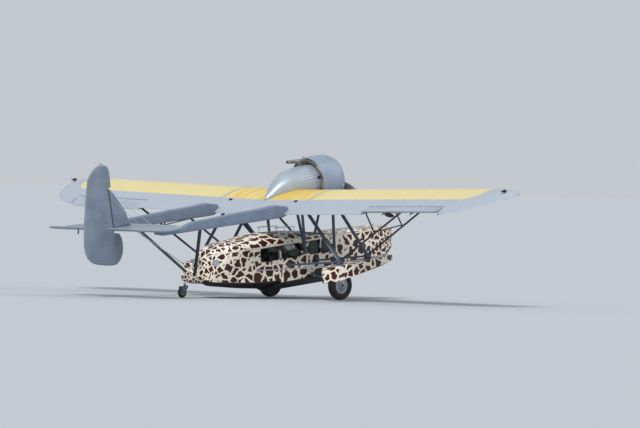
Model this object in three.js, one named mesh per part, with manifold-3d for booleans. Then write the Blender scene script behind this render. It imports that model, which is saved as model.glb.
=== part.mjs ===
// Twin-boom amphibious floatplane of the early 1930s, parked on its wheels.
// Units are millimetres. The airframe is drawn in its own level frame: +X to the nose, +Y to port,
// +Z up, with x = 0 and z = 0 at the rear spar where the inner float struts meet the wing's underside.
// A last group turns it nose-up onto its three wheels and centres it over the ground at z = 0.

import * as THREE from 'three';
import { mergeVertices } from 'three/addons/utils/BufferGeometryUtils.js';
import Module from 'manifold-3d';

const wasm = await Module();
wasm.setup();

// Driving dimensions
const GAP = 0.4;                    // fitted pieces keep this much air between them
const span = 15850;
const chord = 1950;
const leadingEdgeX = 1343;
const incidence = 0.0872;           // rise of the chord line, about 5 degrees
const trailingEdgeZ = -7;
const dihedral = 0.0222;            // about 1.27 degrees
const camber = 0.06;                // the section's camber, its place and its thickness in chords
const camberAt = 0.4;
const thickness = 0.22;
const rearSparX = 0;
const frontSparX = 936;
const centreHalf = 1560;            // half span of the wing's centre section
const tipStart = 6370;              // the round tip begins here
const tipPower = 1.8;               // the tip's outline; 2 is an ellipse
const tipFront = 0.3;               // how much of the tip's narrowing its front edge takes
const tipLift = 200;                // the tip's end rises by this
const tipThinning = 0.45;           // share of the tip over which its underside comes up
const aileronIn = 4000;
const aileronOut = 6545;
const aileronHingeX = -310;
const floatY = 2490;
const boomY = 1250;
const hullHalf = 680;
const wallThick = 30;
const floorZ = -1500;
const gunwaleZ = -770;
const cabinRear = -1100;
const cabinFront = 1750;
const roofFront = 780;
const engineZ = 555;
const cowlRadius = 620;
const propRadius = 1170;
const wheelX = 1120;
const wheelY = 1250;
const wheelZ = -1910;
const tyreRadius = 360;
const tailWheelX = -2900;
const tailWheelZ = -1620;
const tailTyreRadius = 130;
const elevatorUp = 10;              // degrees, trailing edge up
const aileronRightUp = 15;
const aileronLeftDown = 10;

// Finishes
const finish = {
  cream: { color: 0xd9cdb0, roughness: 0.45, metalness: 0.0 },
  silver: { color: 0xb4bcc4, roughness: 0.4, metalness: 0.2 },
  yellow: { color: 0xd9c273, roughness: 0.45, metalness: 0.0 },
  slate: { color: 0x2c333c, roughness: 0.5, metalness: 0.1 },
  glass: { color: 0x1d2830, roughness: 0.05, metalness: 0.0 },
  seat: { color: 0x7c1f1f, roughness: 0.7, metalness: 0.0 },
  panel: { color: 0x22262a, roughness: 0.6, metalness: 0.0 },
  engine: { color: 0x5c6064, roughness: 0.5, metalness: 0.5 },
  exhaust: { color: 0x6b5346, roughness: 0.5, metalness: 0.6 },
  rubber: { color: 0x1b1b1c, roughness: 0.85, metalness: 0.0 },
  hub: { color: 0x9aa2a8, roughness: 0.4, metalness: 0.4 },
};

const rig = new THREE.Group();

function addMesh(name, geometry, look) {
  const mesh = new THREE.Mesh(geometry, new THREE.MeshStandardMaterial(finish[look]));
  mesh.name = name;
  rig.add(mesh);
  return mesh;
}

// Small helpers for closed solids
const at = (x, y, z) => new THREE.Vector3(x, y, z);

function outward(geometry) {
  const p = geometry.getAttribute('position');
  const index = geometry.index.array;
  const [a, b, c] = [at(), at(), at()];
  let volume = 0;
  for (let i = 0; i < index.length; i += 3) {
    a.fromBufferAttribute(p, index[i]);
    b.fromBufferAttribute(p, index[i + 1]);
    c.fromBufferAttribute(p, index[i + 2]);
    volume += a.dot(b.cross(c));
  }
  if (volume < 0) {
    for (let i = 0; i < index.length; i += 3) {
      [index[i + 1], index[i + 2]] = [index[i + 2], index[i + 1]];
    }
  }
  return geometry;
}

function toSolid(geometry) {
  const bare = geometry.clone();
  bare.deleteAttribute('normal');
  bare.deleteAttribute('uv');
  const merged = outward(mergeVertices(bare, 1e-3));
  return new wasm.Manifold(new wasm.Mesh({
    numProp: 3,
    vertProperties: new Float32Array(merged.getAttribute('position').array),
    triVerts: new Uint32Array(merged.index.array),
  }));
}

function toGeometry(solid) {
  const largest = solid.decompose().sort((a, b) => b.volume() - a.volume())[0];
  const mesh = largest.getMesh();
  const geometry = new THREE.BufferGeometry();
  geometry.setAttribute('position', new THREE.BufferAttribute(new Float32Array(mesh.vertProperties), 3));
  geometry.setIndex(new THREE.BufferAttribute(new Uint32Array(mesh.triVerts), 1));
  return geometry;
}

const join = (...geometries) => geometries.map(toSolid).reduce((sum, next) => sum.add(next));

// Cuts a solid by a neighbour where it stands and moved by each shift, so that a gap stays between the two
function cutBy(solid, neighbour, ...shifts) {
  return [[0, 0, 0], ...shifts].reduce((left, shift) => left.subtract(neighbour.translate(shift)), solid);
}

// Skins a list of rings with equally many points, and closes both ends
function loft(rings) {
  const n = rings[0].length;
  const points = rings.flat();
  const index = [];
  for (let r = 0; r + 1 < rings.length; r++) {
    for (let i = 0; i < n; i++) {
      const [a, b] = [r * n + i, r * n + ((i + 1) % n)];
      index.push(a, b, b + n, a, b + n, a + n);
    }
  }
  for (const [ring, start, flip] of [[rings[0], 0, true], [rings.at(-1), (rings.length - 1) * n, false]]) {
    const normal = ringNormal(ring);
    const [u, v] = planeAxes(normal);
    const flat = ring.map((p) => new THREE.Vector2(p.dot(u), p.dot(v)));
    for (const [a, b, c] of THREE.ShapeUtils.triangulateShape(flat, [])) {
      index.push(...(flip ? [start + a, start + c, start + b] : [start + a, start + b, start + c]));
    }
  }
  const geometry = new THREE.BufferGeometry().setFromPoints(points);
  geometry.setIndex(index);
  return outward(geometry);
}

function ringNormal(ring) {
  const normal = at(0, 0, 0);
  ring.forEach((p, i) => normal.add(p.clone().cross(ring[(i + 1) % ring.length])));
  return normal.normalize();
}

function planeAxes(normal) {
  const helper = Math.abs(normal.x) < 0.9 ? at(1, 0, 0) : at(0, 1, 0);
  const u = helper.cross(normal).normalize();
  return [u, normal.clone().cross(u)];
}

// A plate drawn in the x-z plane and thickened along y, centred on y = middle
function plateXZ(outline, thick, middle, bevel = 0) {
  const shape = new THREE.Shape(outline.map(([x, z]) => new THREE.Vector2(x, z)));
  const geometry = new THREE.ExtrudeGeometry(shape, {
    depth: thick - 2 * bevel,
    bevelEnabled: bevel > 0,
    bevelThickness: bevel,
    bevelSize: bevel,
    bevelOffset: -bevel,
    bevelSegments: 2,
  });
  geometry.translate(0, 0, -(thick - 2 * bevel) / 2);
  geometry.rotateX(Math.PI / 2);
  return geometry.translate(0, middle, 0);
}

// A plate drawn in the x-y plane and thickened upwards from z = bottom
function plateXY(outline, thick, bottom, bevel = 0) {
  const shape = new THREE.Shape(outline.map(([x, y]) => new THREE.Vector2(x, y)));
  const geometry = new THREE.ExtrudeGeometry(shape, {
    depth: thick - 2 * bevel,
    bevelEnabled: bevel > 0,
    bevelThickness: bevel,
    bevelSize: bevel,
    bevelOffset: -bevel,
    bevelSegments: 2,
  });
  return geometry.translate(0, 0, bottom + bevel);
}

function box(x0, x1, y0, y1, z0, z1) {
  const geometry = new THREE.BoxGeometry(x1 - x0, y1 - y0, z1 - z0);
  return geometry.translate((x0 + x1) / 2, (y0 + y1) / 2, (z0 + z1) / 2);
}

// A streamlined bar from a to b, its long axis along the flight direction
function bar(a, b, depth, thick, sides = 10) {
  const shape = new THREE.Shape();
  shape.absellipse(0, 0, depth / 2, thick / 2, 0, 2 * Math.PI, false, 0);
  const outline = new THREE.Shape(shape.getPoints(sides / 2).slice(0, -1));
  const along = b.clone().sub(a);
  const geometry = new THREE.ExtrudeGeometry(outline, { depth: along.length(), bevelEnabled: false });
  const w = along.normalize();
  const u = at(1, 0, 0).addScaledVector(w, -w.x).normalize();
  const v = w.clone().cross(u);
  return geometry.applyMatrix4(new THREE.Matrix4().makeBasis(u, v, w).setPosition(a));
}

// A body of revolution about the X axis whose profile is given as [distance along +X, radius]
function turned(profile, segments) {
  const geometry = new THREE.LatheGeometry(profile.map(([d, r]) => new THREE.Vector2(r, d)), segments);
  return geometry.rotateZ(-Math.PI / 2);
}

function rod(radius, length, segments) {
  return turned([[-length / 2, 0], [-length / 2, radius], [length / 2, radius], [length / 2, 0]], segments);
}

// Wing: one thick section, level until the round tips
function sectionPoint(s, upper, lowerShare = 1) {
  const camberLine = s < camberAt
    ? (camber / camberAt ** 2) * (2 * camberAt * s - s * s)
    : (camber / (1 - camberAt) ** 2) * (1 - 2 * camberAt + 2 * camberAt * s - s * s);
  const half = 5 * thickness * (0.2969 * Math.sqrt(s) - 0.126 * s - 0.3516 * s ** 2
    + 0.2843 * s ** 3 - 0.1036 * s ** 4) + 0.003 * s;
  return camberLine + (upper ? half : -lowerShare * half);
}

function wingRing(y) {
  const tip = Math.max(0, (Math.abs(y) - tipStart) / (span / 2 - tipStart));
  const scale = Math.max(0.006, 1 - tip * tip) ** (1 / tipPower);
  const local = chord * scale;
  const nose = leadingEdgeX - tipFront * (chord - local);
  const rise = (trailingEdgeZ + incidence * chord / 2) + dihedral * Math.abs(y) + tipLift * tip * tip;
  const lowerShare = 1 - 0.95 * THREE.MathUtils.smoothstep(tip, 0, tipThinning);
  const steps = 11;
  const ring = [];
  for (let i = 0; i < 2 * steps; i++) {
    const upper = i < steps;
    const k = upper ? i / steps : (2 * steps - i) / steps;
    const s = 1 - Math.cos((k * Math.PI) / 2);
    const fromMiddle = (0.5 - s) * local;
    const height = sectionPoint(s, upper, lowerShare) * local;
    ring.push(at(nose - s * local, y, rise + incidence * fromMiddle + height));
  }
  return ring;
}

const tipStations = [0.12, 0.25, 0.45, 0.62, 0.76, 0.87, 0.95, 1]
  .map((k) => tipStart + k * (span / 2 - tipStart));
const wingCentre = toSolid(loft([-centreHalf, 0, centreHalf].map(wingRing)));
const wingPanel = (side) => toSolid(loft([centreHalf + GAP, tipStart, ...tipStations]
  .map((y) => wingRing(side * y))));

const hingeHeight = (y) => {
  const s = (leadingEdgeX - aileronHingeX) / chord;
  const middle = (sectionPoint(s, true) + sectionPoint(s, false)) / 2;
  const back = aileronHingeX - leadingEdgeX + chord;
  const chordLine = trailingEdgeZ + incidence * back + dihedral * Math.abs(y);
  return chordLine + middle * chord;
};
const aileronNose = 68;             // radius of the aileron's rounded front edge
const aileronGap = 12;

function aileronRod(side, radius, y0, y1) {
  const a = at(aileronHingeX, side * y0, hingeHeight(y0));
  const b = at(aileronHingeX, side * y1, hingeHeight(y1));
  return toSolid(bar(a, b, 2 * radius, 2 * radius, 20));
}

function buildWing() {
  addMesh('wing_centre', toGeometry(wingCentre), 'yellow');
  for (const [word, side, deflection] of [['right', -1, aileronRightUp], ['left', 1, -aileronLeftDown]]) {
    const panel = wingPanel(side);
    const [y0, y1] = [aileronIn, aileronOut].map((y) => side * y).sort((a, b) => a - b);
    const rearOf = (gap) => box(leadingEdgeX - chord - 50, aileronHingeX, y0 - gap, y1 + gap, -400, 800);
    const behindHinge = (gap) => toSolid(rearOf(gap))
      .add(aileronRod(side, aileronNose + gap, aileronIn - gap, aileronOut + gap));
    addMesh(`wing_${word}`, toGeometry(panel.subtract(behindHinge(aileronGap))), 'silver');
    const flap = panel.intersect(toSolid(box(leadingEdgeX - chord - 50, aileronHingeX, y0, y1, -400, 800)))
      .add(aileronRod(side, aileronNose, aileronIn, aileronOut));
    const geometry = toGeometry(flap);
    const hinge = at(aileronHingeX, side * aileronIn, hingeHeight(aileronIn));
    const axis = at(0, 1, side * dihedral).normalize();
    geometry.translate(-hinge.x, -hinge.y, -hinge.z);
    const mesh = addMesh(`aileron_${word}`, geometry, 'silver');
    mesh.position.copy(hinge);
    mesh.quaternion.setFromAxisAngle(axis, THREE.MathUtils.degToRad(deflection));
  }
}

// Hull. Columns: station x, half beam at chine, half beam at gunwale, keel, chine, gunwale, crown
const bowStations = [
  [1750, 680, 680, -1925, -1670, -770, -742],
  [2400, 655, 675, -1880, -1620, -775, -742],
  [3000, 590, 630, -1780, -1520, -785, -744],
  [3480, 500, 555, -1630, -1410, -800, -752],
  [3760, 370, 425, -1460, -1280, -825, -775],
  [3880, 215, 275, -1320, -1190, -870, -825],
  [3920, 110, 150, -1240, -1140, -920, -890],
];
const sternStations = [
  [-1100, 680, 680, -1745, -1590, -770, -545],
  [-1500, 655, 640, -1675, -1550, -770, -570],
  [-1800, 555, 480, -1620, -1515, -785, -610],
  [-2000, 415, 340, -1585, -1490, -805, -665],
  [-2130, 280, 210, -1550, -1470, -835, -735],
  [-2215, 120, 85, -1500, -1440, -890, -830],
];
// Planing bottom under the floor, with its step; columns: x, keel, chine
const bottomStations = [
  [-1100, -1745, -1590], [-300, -1855, -1640],
  [-298, -1935, -1690], [1750, -1925, -1670],
];

function arc(halfWidth, baseZ, crownZ, steps) {
  return Array.from({ length: steps + 1 }, (_, i) => {
    const angle = (i / steps) * Math.PI;
    return [halfWidth * Math.cos(angle), baseZ + (crownZ - baseZ) * Math.sin(angle)];
  });
}

function hullRing([x, chineHalf, gunwaleHalf, keel, chine, gunwale, crown]) {
  const flat = [[-chineHalf, chine], [0, keel], [chineHalf, chine], ...arc(gunwaleHalf, gunwale, crown, 10)];
  return flat.map(([y, z]) => at(x, y, z));
}

// A thin bowed shell between two gunwales; columns: x, crown height
function bowedShell(stations, drop, thick) {
  return loft(stations.map(([x, crown]) => {
    const outer = arc(hullHalf - drop, gunwaleZ + GAP, crown - drop, 10);
    const inner = arc(hullHalf - drop - thick, gunwaleZ + GAP, crown - drop - thick, 10).reverse();
    return [...outer, ...inner].map(([y, z]) => at(x, y, z));
  }));
}

const roofStations = [[cabinRear + GAP, -545], [-700, -510], [-170, -490], [300, -515], [roofFront, -560]];
const screenStations = Array.from({ length: 9 }, (_, i) => [
  THREE.MathUtils.lerp(roofFront + GAP, cabinFront - GAP, i / 8), THREE.MathUtils.lerp(-560, -742, i / 8)]);
const hatch = { x0: -880, x1: -380, half: 240 };

// Side windows; columns: rear x, front x at the sill, front x at the head
const windows = [[-890, -270, -270], [-210, 440, 440], [710, 1080, 1080], [1130, 1590, 1330]];
const sillZ = -1120;
const headZ = -800;

// Stern: the closed rear of the hull, its low tail post and the tail wheel's pivot tube
const tailPost = loft([[-2150, 130, -1130, -1500], [-2600, 90, -1140, -1440], [-2870, 35, -1170, -1340]]
  .map(([x, half, top, low]) => [[-half, top], [-half, low + 60], [0, low], [half, low + 60], [half, top]]
    .map(([y, z]) => at(x, y, z))));
const pivotTube = new THREE.CylinderGeometry(34, 34, 90, 16).rotateX(Math.PI / 2).translate(-2800, 0, -1355);
const sternBody = join(loft(sternStations.map(hullRing)).translate(-GAP, 0, 0), tailPost, pivotTube);

function buildHull() {
  addMesh('hull_bow', loft(bowStations.map(hullRing)).translate(GAP, 0, 0), 'cream');

  const bottomRing = ([x, keel, chine]) => [[-hullHalf, chine], [0, keel], [hullHalf, chine],
    [hullHalf, floorZ], [-hullHalf, floorZ]].map(([y, z]) => at(x, y, z));
  addMesh('hull_bottom', loft(bottomStations.map(bottomRing)), 'cream');

  addMesh('hull_stern', toGeometry(sternBody), 'cream');

  for (const [word, side] of [['right', -1], ['left', 1]]) {
    const wallY = side * (hullHalf - wallThick / 2);
    const holes = windows.map(([rear, sill, head]) => toSolid(plateXZ(
      [[rear, sillZ], [sill, sillZ], [head, headZ], [rear, headZ]], 3 * wallThick, wallY)));
    const wall = toSolid(plateXZ([[cabinRear + GAP, floorZ + GAP], [cabinFront - GAP, floorZ + GAP],
      [cabinFront - GAP, gunwaleZ - GAP], [cabinRear + GAP, gunwaleZ - GAP]], wallThick, wallY));
    const opened = holes.reduce((left, hole) => left.subtract(hole), wall);
    addMesh(`cabin_side_${word}`, toGeometry(opened), 'cream');
    const paneY = side * (hullHalf - wallThick - GAP - 4);
    addMesh(`side_glass_${word}`, plateXZ([[-930, sillZ - 40], [1640, sillZ - 40], [1370, gunwaleZ - 5],
      [-930, gunwaleZ - 5]], 8, paneY), 'glass');
  }

  const lidCut = (gap) => toSolid(
    box(hatch.x0 + gap, hatch.x1 - gap, gap - hatch.half, hatch.half - gap, -700, -300));
  const roof = toSolid(bowedShell(roofStations, 0, 26));
  addMesh('cabin_roof', toGeometry(roof.subtract(lidCut(0))), 'cream');
  addMesh('roof_hatch', toGeometry(roof.intersect(lidCut(6))), 'cream');

  const screen = toSolid(bowedShell(screenStations, 0, 26));
  const paneHoles = [[850, 1160, 560], [1240, 1600, 520]].flatMap(([x0, x1, out]) => [
    box(x0, x1, 28, out, -800, -400), box(x0, x1, -out, -28, -800, -400)]);
  const frame = paneHoles.reduce((left, hole) => left.subtract(toSolid(hole)), screen);
  addMesh('windshield_frame', toGeometry(frame), 'cream');
  const paneShell = toSolid(bowedShell(screenStations.slice(0, 8), 31, 6));
  const pane = paneShell.intersect(toSolid(box(820, 1630, -700, 700, -900, -400)));
  addMesh('windshield_glass', toGeometry(pane.subtract(frame)), 'glass');
}

// Cabin furniture: seats on a low box, a bench, and the panel with its control column and two wheels
const seatRear = 150;
const seatFront = 620;
const seatHalf = 230;
const seatMiddle = 300;
const cushionLow = floorZ + 160;
const cushionTop = floorZ + 330;
const furnitureHalf = 560;
const panelX = 1560;
const panelThick = 40;
const yokeX = 1150;
const yokeZ = -960;
const yokeRadius = 150;

function buildCabin() {
  const seat = (y) => [
    box(seatRear, seatFront, y - seatHalf, y + seatHalf, cushionLow, cushionTop),
    box(60, seatRear + 20, y - seatHalf, y + seatHalf, cushionLow, floorZ + 640),
  ];
  const seatBox = box(120, seatFront - 60, -furnitureHalf, furnitureHalf, floorZ + GAP, cushionLow + 10);
  addMesh('front_seats', toGeometry(join(...seat(-seatMiddle), ...seat(seatMiddle), seatBox)), 'seat');

  const bench = join(
    box(-960, -480, -furnitureHalf, furnitureHalf, floorZ + GAP, cushionTop),
    box(-1060, -940, -furnitureHalf, furnitureHalf, floorZ + GAP, floorZ + 660),
  );
  addMesh('rear_bench', toGeometry(bench), 'seat');

  const panelRear = panelX + panelThick;
  const yoke = (y) => rod(yokeRadius, 28, 20).translate(yokeX, y, yokeZ);
  const panel = join(
    box(panelX, panelRear, -600, 600, -1130, -830),
    box(panelX - 20, panelRear, -60, 60, floorZ + GAP, -1100),
    box(1270, panelRear, -40, 40, floorZ + GAP, floorZ + 60),
    bar(at(1300, 0, floorZ + 30), at(yokeX + 30, 0, yokeZ), 60, 60, 12),
    box(yokeX + 15, yokeX + 45, -seatMiddle - 30, seatMiddle + 30, yokeZ - 25, yokeZ + 15),
    yoke(-seatMiddle),
    yoke(seatMiddle),
  );
  addMesh('instrument_panel', toGeometry(panel), 'panel');
}

// Engine group on the wing's centre line. Nacelle columns: x, radius, centre height
const nacelleStations = [
  [1550, 435, 555], [1330, 430, 550], [1000, 405, 545], [660, 346, 530],
  [320, 207, 450], [110, 98, 346], [10, 30, 302],
];

// Engine columns: distance along the shaft, radius
const crankcase = [
  [1550 + GAP, 0], [1550 + GAP, 250], [1700, 270], [1980, 255], [2080, 190], [2165, 110], [2165, 0],
];
const cowlSection = [
  [1440, 585], [1500, 606], [1650, 617], [1850, cowlRadius], [2000, 612], [2100, 588], [2155, 560],
  [2170, 538], [2150, 522], [2085, 556], [1990, 590], [1850, 602], [1650, 600], [1500, 592], [1440, 585],
];
const cylinders = 9;
const cylinderX = 1850;
const headRadius = 578;             // from the shaft to the cylinders' heads
const exhaustRadius = 515;
const exhaustX = 1500;
const pipeZ = 1160;
const propellerX = 2307;
const propellerTurn = 115;          // degrees from upright, as it was left
const spinner = [[-125, 0], [-125, 85], [40, 85], [90, 60], [120, 0]];
// Blade columns: radius, chord, thickness, pitch in degrees
const bladeStations = [[60, 120, 100, 60], [250, 170, 60, 42], [600, 220, 34, 26], [1000, 170, 18, 18],
  [propRadius, 60, 10, 16]];

function circleRing([x, radius, z]) {
  return Array.from({ length: 24 }, (_, i) => {
    const angle = (i / 24) * 2 * Math.PI;
    return at(x, radius * Math.sin(angle), z + radius * Math.cos(angle));
  });
}

function bladeRing([radius, wide, deep, pitch]) {
  const tilt = THREE.MathUtils.degToRad(pitch);
  return Array.from({ length: 12 }, (_, i) => {
    const angle = (i / 12) * 2 * Math.PI;
    const [u, v] = [(wide / 2) * Math.cos(angle), (deep / 2) * Math.sin(angle)];
    return at(u * Math.sin(tilt) + v * Math.cos(tilt), u * Math.cos(tilt) - v * Math.sin(tilt), radius);
  });
}

function buildPower() {
  const nacelle = cutBy(toSolid(loft(nacelleStations.map(circleRing))), wingCentre,
    [0, 0, GAP], [GAP, 0, 0], [0, 0, -GAP]);
  addMesh('nacelle', toGeometry(nacelle), 'silver');

  const engineParts = [turned(crankcase, 18).translate(0, 0, engineZ)];
  const cowlParts = [turned(cowlSection, 36).translate(0, 0, engineZ)];
  for (let i = 0; i < cylinders; i++) {
    const angle = (i / cylinders) * 2 * Math.PI;
    const out = (radius) => at(cylinderX, radius * Math.sin(angle), engineZ + radius * Math.cos(angle));
    engineParts.push(bar(out(200), out(520), 172, 172, 12), bar(out(500), out(headRadius), 120, 190, 6));
    cowlParts.push(bar(out(headRadius + GAP), out(608), 60, 60, 6));
  }
  addMesh('cowl_ring', toGeometry(join(...cowlParts)), 'silver');
  addMesh('engine', toGeometry(join(...engineParts)), 'engine');

  const collector = new THREE.TorusGeometry(exhaustRadius, 56, 8, 28).rotateY(Math.PI / 2)
    .translate(exhaustX, 0, engineZ);
  const pipe = turned([[810, 0], [810, 38], [1100, 52], [1520, 50], [1520, 0]], 14).rotateY(0.055)
    .translate(0, 0, pipeZ);
  addMesh('exhaust', toGeometry(join(collector, pipe)), 'exhaust');

  const blade = (turn) => loft(bladeStations.map(bladeRing)).rotateX(turn);
  const blades = [blade(0), blade(Math.PI)];
  const propeller = addMesh('propeller', toGeometry(join(turned(spinner, 20), ...blades)), 'hub');
  propeller.position.set(propellerX, 0, engineZ);
  propeller.rotation.x = THREE.MathUtils.degToRad(propellerTurn);
}

// Tail: slab-sided booms, tailplane, fin, rudder and elevators
const tailTop = 180;
const tailBottom = 92;
const tailHingeX = -4970;
const rudderLean = -0.075;          // the rudder post's lean, forward for each millimetre of height
// Outlines of a boom from the side (x, z) and from above (x, y)
const boomSide = [
  [-460, 205], [-860, 280], [-1350, 252], [-2000, 240], [-3550, 190], [-3950, tailBottom - GAP],
  [-4700, tailBottom - GAP], [-4700, 20], [-4500, -30], [-620, -45], [-330, 40],
];
const boomPlan = [[-330, -12], [-330, 12], [-900, 105], [-4700, 70], [-4700, -70], [-900, -105]];
// Elevator outline (x behind the hinge, y from the middle)
const elevatorPlan = [[0, 70], [0, 1800], [-180, 1880], [-430, 1800], [-590, 1500], [-600, 480], [-420, 330]];

function buildTail() {
  for (const [word, side] of [['right', -1], ['left', 1]]) {
    const profile = plateXZ(boomSide, 300, side * boomY);
    const plan = plateXY(boomPlan.map(([x, y]) => [x, side * boomY + y]), 600, -200);
    const boom = cutBy(toSolid(profile).intersect(toSolid(plan)), wingCentre,
      [0, 0, GAP], [-GAP, 0, 0], [0, 0, -GAP]);
    addMesh(`boom_${word}`, toGeometry(boom), 'silver');

    const sternStrut = bar(at(-2517, side * 59, -1287), at(-3240, side * (boomY - 50), 20), 105, 42, 10);
    const underBoom = cutBy(toSolid(sternStrut), boom, [0, 0, -GAP], [0, -side * GAP, 0]);
    const fitted = cutBy(underBoom, sternBody, [0, 0, GAP], [0, side * GAP, 0]);
    addMesh(`stern_strut_${word}`, toGeometry(fitted), 'slate');

    const elevator = plateXY(elevatorPlan.map(([x, y]) => [x, side * y]), 56, -28, 12);
    const horn = plateXZ([[-60, 0], [10, 0], [-30, -130], [-60, -130]], 16, side * 1175);
    const flap = addMesh(`elevator_${word}`, toGeometry(join(elevator, horn)), 'silver');
    flap.position.set(tailHingeX, 0, (tailTop + tailBottom) / 2);
    flap.rotation.y = THREE.MathUtils.degToRad(elevatorUp);
  }

  const leading = [[-4000, 0], [-4010, 900], [-4080, 1350], [-4260, 1690], [-4560, 1850], [-4780, 1870],
    [tailHingeX + 24, 1800], [tailHingeX + 24, 70], [tailHingeX + 72, 52]];
  const outline = [...leading, ...leading.map(([x, y]) => [x, -y]).reverse().slice(0, -1)];
  addMesh('tailplane', plateXY(outline, tailTop - tailBottom, tailBottom, 20), 'silver');

  const finRear = (z) => tailHingeX + rudderLean * (z - 560) + 26;
  const fin = [
    [-4380, tailTop + GAP], [-4430, 300], [-4570, 600], [-4890, 1030],
    [finRear(1110), 1110], [finRear(200), tailTop + GAP],
  ];
  addMesh('fin', plateXZ(fin, 60, 0, 10), 'silver');

  // Rudder outline, clockwise from the top of its front edge
  const post = (z) => tailHingeX + rudderLean * (z - 560);
  const rudder = [
    [-5160, 1700], [-5040, 1680], [-4965, 1600], [-4935, 1450], [-4925, 1145], [post(1140), 1140],
    [post(60), 60],
    [-4760, 20], [-4690, -110], [-4670, -300], [-4710, -490], [-4830, -650], [-5020, -710], [-5490, -640],
    [-5700, -550], [-5820, -420], [-5880, -230], [-5880, 10], [-5820, 470], [-5710, 1060], [-5660, 1290],
    [-5620, 1410], [-5500, 1560], [-5310, 1690],
  ];
  addMesh('rudder', plateXZ(rudder, 56, 0, 12), 'silver');
}

// Floats; columns: x, half width, deck, chine, keel
const floatStations = [
  [-550, 60, -1320, -1615, -1625], [-470, 140, -1270, -1612, -1632], [-330, 205, -1246, -1600, -1634],
  [-60, 250, -1238, -1562, -1618], [640, 258, -1210, -1455, -1535], [1300, 240, -1190, -1342, -1440],
  [1480, 205, -1186, -1312, -1400], [1640, 130, -1186, -1294, -1352], [1690, 60, -1190, -1290, -1325],
];
const struts = {
  innerRear: [rearSparX, 1424], innerFront: [frontSparX, 1521],
  outerRear: [rearSparX, 4900], outerFront: [frontSparX, 4750],
};
// What stands off the hull's flat sides is trimmed to this block
const hullSides = toSolid(box(-1050, 1740, -hullHalf - GAP, hullHalf + GAP, -1690, gunwaleZ));
const fittingHalf = 62;
const fittingZ = { [rearSparX]: -1150, [frontSparX]: -1115 };

const fittingTop = 55;              // the fitting stands this far over the struts' crossing
const spreaderZ = -1290;
const juryFootY = 3777;
const juryTopY = 3480;
const cabaneFoot = { x: 565, z: -1040 };

function floatRing(side, [x, half, deck, chine, keel]) {
  return [[-half, chine], [0, keel], [half, chine], [half, deck - 30], [half - 40, deck], [40 - half, deck],
    [-half, deck - 30]].map(([y, z]) => at(x, side * floatY + y, z));
}

// A flat foot against the hull's side, with a hair of air behind it
function sidePad(side, x0, x1, thick, z0, z1) {
  const middle = side * (hullHalf + thick / 2);
  return box(x0, x1, middle - thick / 2 + GAP, middle + thick / 2, z0, z1);
}

function buildFloatsAndStruts() {
  for (const [word, side] of [['right', -1], ['left', 1]]) {
    const float = toSolid(loft(floatStations.map((station) => floatRing(side, station))));
    addMesh(`float_${word}`, toGeometry(float), 'cream');
    const wings = [wingCentre, wingPanel(side)];
    const underWing = (solid) => wings.reduce((left, wing) => cutBy(left, wing, [0, 0, -GAP]), solid);

    const junctions = [];
    for (const [place, x, inner, outer] of [
      ['rear', rearSparX, struts.innerRear, struts.outerRear],
      ['front', frontSparX, struts.innerFront, struts.outerFront],
    ]) {
      const foot = at(x, side * floatY, fittingZ[x]);
      const fitting = (gap, low) => box(x - 75 - gap, x + 75 + gap, side * floatY - fittingHalf - gap,
        side * floatY + fittingHalf + gap, low, fittingZ[x] + fittingTop + gap);
      const vee = join(
        bar(at(inner[0], side * inner[1], 60), foot, 112, 58),
        bar(at(x, side * (hullHalf + 12), spreaderZ), at(x, side * floatY, fittingZ[x] - 20), 90, 46),
        fitting(0, -1400),
        sidePad(side, x - 60, x + 60, 28, spreaderZ - 50, spreaderZ + 50),
      );
      const fitted = cutBy(underWing(vee), float, [0, 0, GAP]).subtract(hullSides);
      addMesh(`inner_strut_${place}_${word}`, toGeometry(fitted), 'slate');

      const top = at(outer[0], side * outer[1], dihedral * outer[1] + 60);
      const strut = underWing(toSolid(bar(top, foot, 82, 42)).subtract(toSolid(fitting(GAP, -1500))));
      addMesh(`outer_strut_${place}_${word}`, toGeometry(strut), 'slate');
      junctions.push({ top, foot, strut, x });
    }

    // The jury struts stand on the outer struts, tied to each other
    const [rearEnd, frontEnd] = junctions.map(({ top, foot, x }) => {
      const share = (juryFootY - floatY) / (Math.abs(top.y) - floatY);
      return at(x, side * juryFootY, THREE.MathUtils.lerp(foot.z, top.z, share));
    });
    const tieEnd = (end, outwards) => end.clone().add(at(outwards, -side * 22, 30));
    const jury = join(
      bar(at(rearSparX, side * juryTopY, 120), rearEnd, 44, 26),
      bar(at(frontSparX, side * juryTopY, 120), frontEnd, 44, 26),
      bar(tieEnd(rearEnd, -10), tieEnd(frontEnd, 10), 30, 30, 8),
    );
    const clearOf = (left, { strut }) => cutBy(left, strut, [0, -side * GAP, 0], [0, 0, GAP]);
    const juryFitted = junctions.reduce(clearOf, underWing(jury));
    addMesh(`jury_strut_${word}`, toGeometry(juryFitted), 'slate');

    // Struts from the wing to the hull
    const footing = at(cabaneFoot.x, side * (hullHalf + 22), cabaneFoot.z);
    const rearPair = join(
      bar(at(rearSparX, side * 1100, 60), footing, 84, 42),
      bar(at(rearSparX, side * 1290, 60), footing, 84, 42),
      sidePad(side, cabaneFoot.x - 65, cabaneFoot.x + 65, 40, cabaneFoot.z - 50, cabaneFoot.z + 60),
    );
    addMesh(`cabane_rear_${word}`, toGeometry(underWing(rearPair).subtract(hullSides)), 'slate');
    const screen = toSolid(bowedShell(screenStations, 0, 26));
    const front = bar(at(frontSparX, side * 956, 60), at(1200, side * 390, -690), 84, 42);
    const footCut = cutBy(underWing(toSolid(front)), screen, [0, 0, GAP]);
    addMesh(`cabane_front_${word}`, toGeometry(footCut), 'slate');
  }
}

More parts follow.
